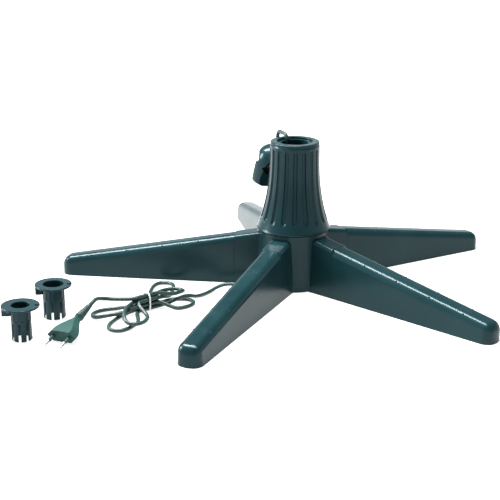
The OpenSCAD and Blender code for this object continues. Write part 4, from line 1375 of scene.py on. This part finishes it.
@dataclass
class OutletBell(Assembly):
    """The three-sided outlet: a spun bell with three flats, each with a six-sided socket and two pin holes."""

    angle: float = 105.0
    top: tuple[float, float] = (46.0, 160.5)
    lean: float = 17.0
    twist: float = -16.0
    profile: tuple = (
        (0, 0), (4.2, 0), (5.2, -0.8), (6.6, -1.9), (9.4, -3), (12.2, -4.4), (15.2, -6.4), (17.8, -8.9),
        (20, -12), (21.7, -16), (23.1, -21), (24.3, -27), (25.3, -33), (25.9, -38), (26, -43),
        (25.8, -45.2), (25, -47), (23.4, -48), (0, -48),
    )
    flat_r: float = 18.4
    soften: float = 2.6
    sockets: tuple = (24.5, 30.5, 18.5)
    recess: tuple[float, float, float] = (35.3, 13.9, 6.0)
    pin_pitch: float = 19.0
    pin_r: float = 2.4
    pin_deep: float = 12.0
    cut_past: float = 20.0
    overlap: float = 2.0
    rim_angle: float = 9.0
    steps: int = 96
    edge: float = 0.3
    edge_angle: float = 40.0
    edge_segments: int = 2
    soften_segments: int = 5
    pole_merge: float = 1e-4
    cut_merge: float = 1e-3
    shade_angle: float = 32.0

    def place(self) -> Matrix:
        """Turn and place of the outlet's own frame, whose top is at its origin."""
        at = heading(self.angle) * self.top[0] + Vector((0, 0, self.top[1]))
        return posed(at, (self.angle, "Z"), (-self.lean, "Y"), (180 + self.twist, "Z"))

    def bell(self) -> BMesh:
        """The spun bell, cut by its flats, whose edges are rounded.

        Returns:
            The solid bell.
        """
        bm = spun(self.profile, self.steps)
        bmesh.ops.remove_doubles(bm, verts=bm.verts, dist=self.pole_merge * MM)
        for i in range(3):
            out = heading(120 * i)
            geom = bm.verts[:] + bm.edges[:] + bm.faces[:]
            cut = bmesh.ops.bisect_plane(
                bm, geom=geom, plane_co=out * self.flat_r * MM, plane_no=out, clear_outer=True
            )
            rim = [g for g in cut["geom_cut"] if isinstance(g, BMEdge)]
            bmesh.ops.contextual_create(bm, geom=rim)
        bmesh.ops.recalc_face_normals(bm, faces=bm.faces)
        flats = {f for f in bm.faces if len(f.verts) > 12 and abs(f.normal.z) < 0.5}
        bend = math.radians(self.rim_angle)
        rims = [e for e in bm.edges if flats.intersection(e.link_faces) and e.calc_face_angle(0) > bend]
        round_edges(bm, rims, self.soften, self.soften_segments)
        return bm

    def cutter(self) -> Object:
        """The three sockets with their pin holes, as one solid to take away.

        Returns:
            The solid's object.
        """
        bm = bmesh.new()
        long, high, deep = self.recess
        for i, drop in enumerate(self.sockets):
            at = posed(heading(120 * i) * self.flat_r - Vector((0, 0, drop)), (120 * i, "Z"))
            ring = bmesh.ops.create_circle(bm, cap_ends=True, segments=6, radius=MM)["verts"]
            for v, (y, z) in zip(ring, six_corners(long, high)):
                v.co = Vector((-deep, y, z)) * MM
            face = ring[0].link_faces[0]
            new = bmesh.ops.extrude_face_region(bm, geom=[face], use_keep_orig=True)["geom"]
            front = [g for g in new if isinstance(g, BMVert)]
            bmesh.ops.translate(bm, verts=front, vec=(self.cut_past * MM, 0, 0))
            bmesh.ops.transform(bm, matrix=at, verts=ring + front)
            for side in (-self.pin_pitch / 2, self.pin_pitch / 2):
                add_rod(bm, self.pin_r, -deep - self.pin_deep, self.overlap - deep, side, at)
        bmesh.ops.recalc_face_normals(bm, faces=bm.faces)
        return link("outlet_cutter", to_mesh(bm, "outlet_cutter"))

    def build(self) -> None:
        """Cuts the sockets out of the bell and rounds their rims."""
        piece, cutter = link("outlet_bell", to_mesh(self.bell(), "outlet_bell")), self.cutter()
        cut = piece.modifiers.new("sockets", "BOOLEAN")
        cut.operation, cut.solver, cut.object = "DIFFERENCE", "EXACT", cutter
        cut.use_self = True
        mesh = finished_mesh(piece)
        bpy.data.objects.remove(cutter)
        bm = bmesh.new()
        bm.from_mesh(mesh)
        bmesh.ops.remove_doubles(bm, verts=bm.verts, dist=self.cut_merge * MM)
        bm.transform(self.place())
        mesh = to_mesh(bm, "outlet_bell", self.shade_angle)
        nodes = ("outlet_neck", "outlet_body", "outlet_base")
        piece = self.solid("outlet_bell", mesh, Body.TURNTABLE, Slot.SHELL, *nodes)
        round_off = piece.modifiers.new("round", "BEVEL")
        round_off.limit_method, round_off.angle_limit = "ANGLE", math.radians(self.edge_angle)
        round_off.width, round_off.segments = self.edge * MM, self.edge_segments
        even_shading(piece)


# --- plug


@dataclass
class Plug(Assembly):
    """The flat two-pin plug: a tapering six-sided body with a neck ring, sleeved pins and their metal tips."""

    at: Point = (-265.5, -111.0, 15.45)
    angle: float = 235.5
    dip: float = 13.0
    roll: float = 1.0
    sections: tuple = (
        (0.0, 11.6, 10.2), (1.9, 11.6, 10.2), (2.5, 9.2, 8.6), (6.0, 10.2, 9.0), (11.0, 14.4, 10.6),
        (18.0, 22.0, 12.6), (25.0, 29.8, 13.6), (31.0, 34.4, 13.7), (38.0, 35.3, 13.7),
    )
    edge: float = 1.3
    edge_segments: int = 3
    tip_segments: int = 4
    crease: float = 28.0
    shade_angle: float = 40.0
    pitch: float = 19.0
    slack: float = 0.01
    sleeve: tuple[float, float, float, float] = (-2.0, 10.0, 1.88, 0.3)
    pin: tuple[float, float, float, float] = (1.0, 19.0, 1.7, 1.3)

    def place(self) -> Matrix:
        """Turn and place of the plug's own frame, whose X axis runs out of its front."""
        return posed(Vector(self.at), (self.angle, "Z"), (self.dip, "Y"), (self.roll, "X"))

    def put(self, face: BMFace, x: float, wide: float, high: float) -> None:
        """Moves a six-cornered face to its section of the body."""
        for v, (y, z) in zip(face.verts, six_corners(wide, high)):
            v.co = Vector((x, y, z)) * MM

    def shell(self) -> None:
        """The body, extruded from section to section and rounded."""
        bm = bmesh.new()
        bmesh.ops.create_circle(bm, cap_ends=True, segments=6, radius=MM)
        face = next(iter(bm.faces))
        self.put(face, *self.sections[0])
        for section in self.sections[1:]:
            first = section is self.sections[1]
            new = bmesh.ops.extrude_face_region(bm, geom=[face], use_keep_orig=first)["geom"]
            face = next(g for g in new if isinstance(g, BMFace))
            self.put(face, *section)
        bmesh.ops.recalc_face_normals(bm, faces=bm.faces)
        round_edges(bm, sharp_edges(bm, self.crease), self.edge, self.edge_segments)
        bm.transform(self.place())
        mesh = to_mesh(bm, "plug_shell", self.shade_angle)
        even_shading(self.solid("plug_shell", mesh, Body.STAND, Slot.PLUG, "plug_body"))

    def rods(self, name: str, sizes: Sequence[float], slot: Slot, *nodes: str) -> None:
        """Two round rods out of the front, one on each side.

        Args:
            name: Name of the piece.
            sizes: Start and end from the plug's front, radius, and rounding of the end.
            slot: Its material slot.
            *nodes: CAD nodes that it stands for.
        """
        low, high, radius, tip = sizes
        front = self.sections[-1][0]
        bm = bmesh.new()
        for side in (-self.pitch / 2, self.pitch / 2):
            new = set(add_rod(bm, radius, front + low, front + high, side))
            past = (front + high - self.slack) * MM
            end = [e for e in bm.edges if all(v in new and v.co.x > past for v in e.verts)]
            round_edges(bm, end, tip, self.tip_segments)
        bm.transform(self.place())
        self.solid(name, to_mesh(bm, name, self.shade_angle), Body.STAND, slot, *nodes)

    def build(self) -> list[str]:
        """Makes the plug.

        Returns:
            The names of its pieces.
        """
        self.shell()
        self.rods("plug_sleeves", self.sleeve, Slot.PLUG)
        self.rods("plug_contacts", self.pin, Slot.PIN, "plug_pins")
        return ["plug_shell", "plug_sleeves", "plug_contacts"]


def dress_nodes(finishes: Finishes) -> None:
    """Gives every CAD node the finish of its slot.

    Args:
        finishes: The finishes.
    """
    slots = {part["node"]: part["material_slot"] for part in frame["record"]["subparts"]}
    for name, node in frame["nodes"].items():
        node.data.materials.clear()
        node.data.materials.append(finishes[Slot(slots[name])])
        log.info("node %s: %d triangles", name, len(node.data.polygons))


def build_skins(finishes: Finishes) -> None:
    """Puts a finer skin on every other shell and fitting that shows.

    Args:
        finishes: The finishes.
    """
    skins = (
        (Body.STAND, Slot.SHELL, 0.4, ("hub_body", "adapter_19", "adapter_22")),
        (Body.TURNTABLE, Slot.SHELL, 0.35, ("trunk_tube",)),
        (Body.STAND, Slot.CABLE, 0.25, ("cord_boot", "plug_boot")),
    )
    for body, slot, edge, nodes in skins:
        for node in nodes:
            Skin(finishes, node, body, slot, edge).build()


def main() -> None:
    """Builds the studio, the cords, the shells and the fittings in order."""
    finishes = Finishes()
    studio = Studio()
    studio.camera()
    plug, outlet = Plug(finishes), OutletBell(finishes)
    mains = MainsCord(finishes, plug)
    mains.build()
    OutputCord(finishes, outlet).build()
    dress_nodes(finishes)
    Leg(finishes).build()
    FlutedCone(finishes).build()
    outlet.build()
    build_skins(finishes)
    WireTie(finishes, mains).build()
    mains.declare(["cord_boot_skin", "wire_tie", "plug_boot_skin", *plug.build()])
    studio.floor(finishes.ground)
    studio.light()


if __name__ == "__main__":
    main()
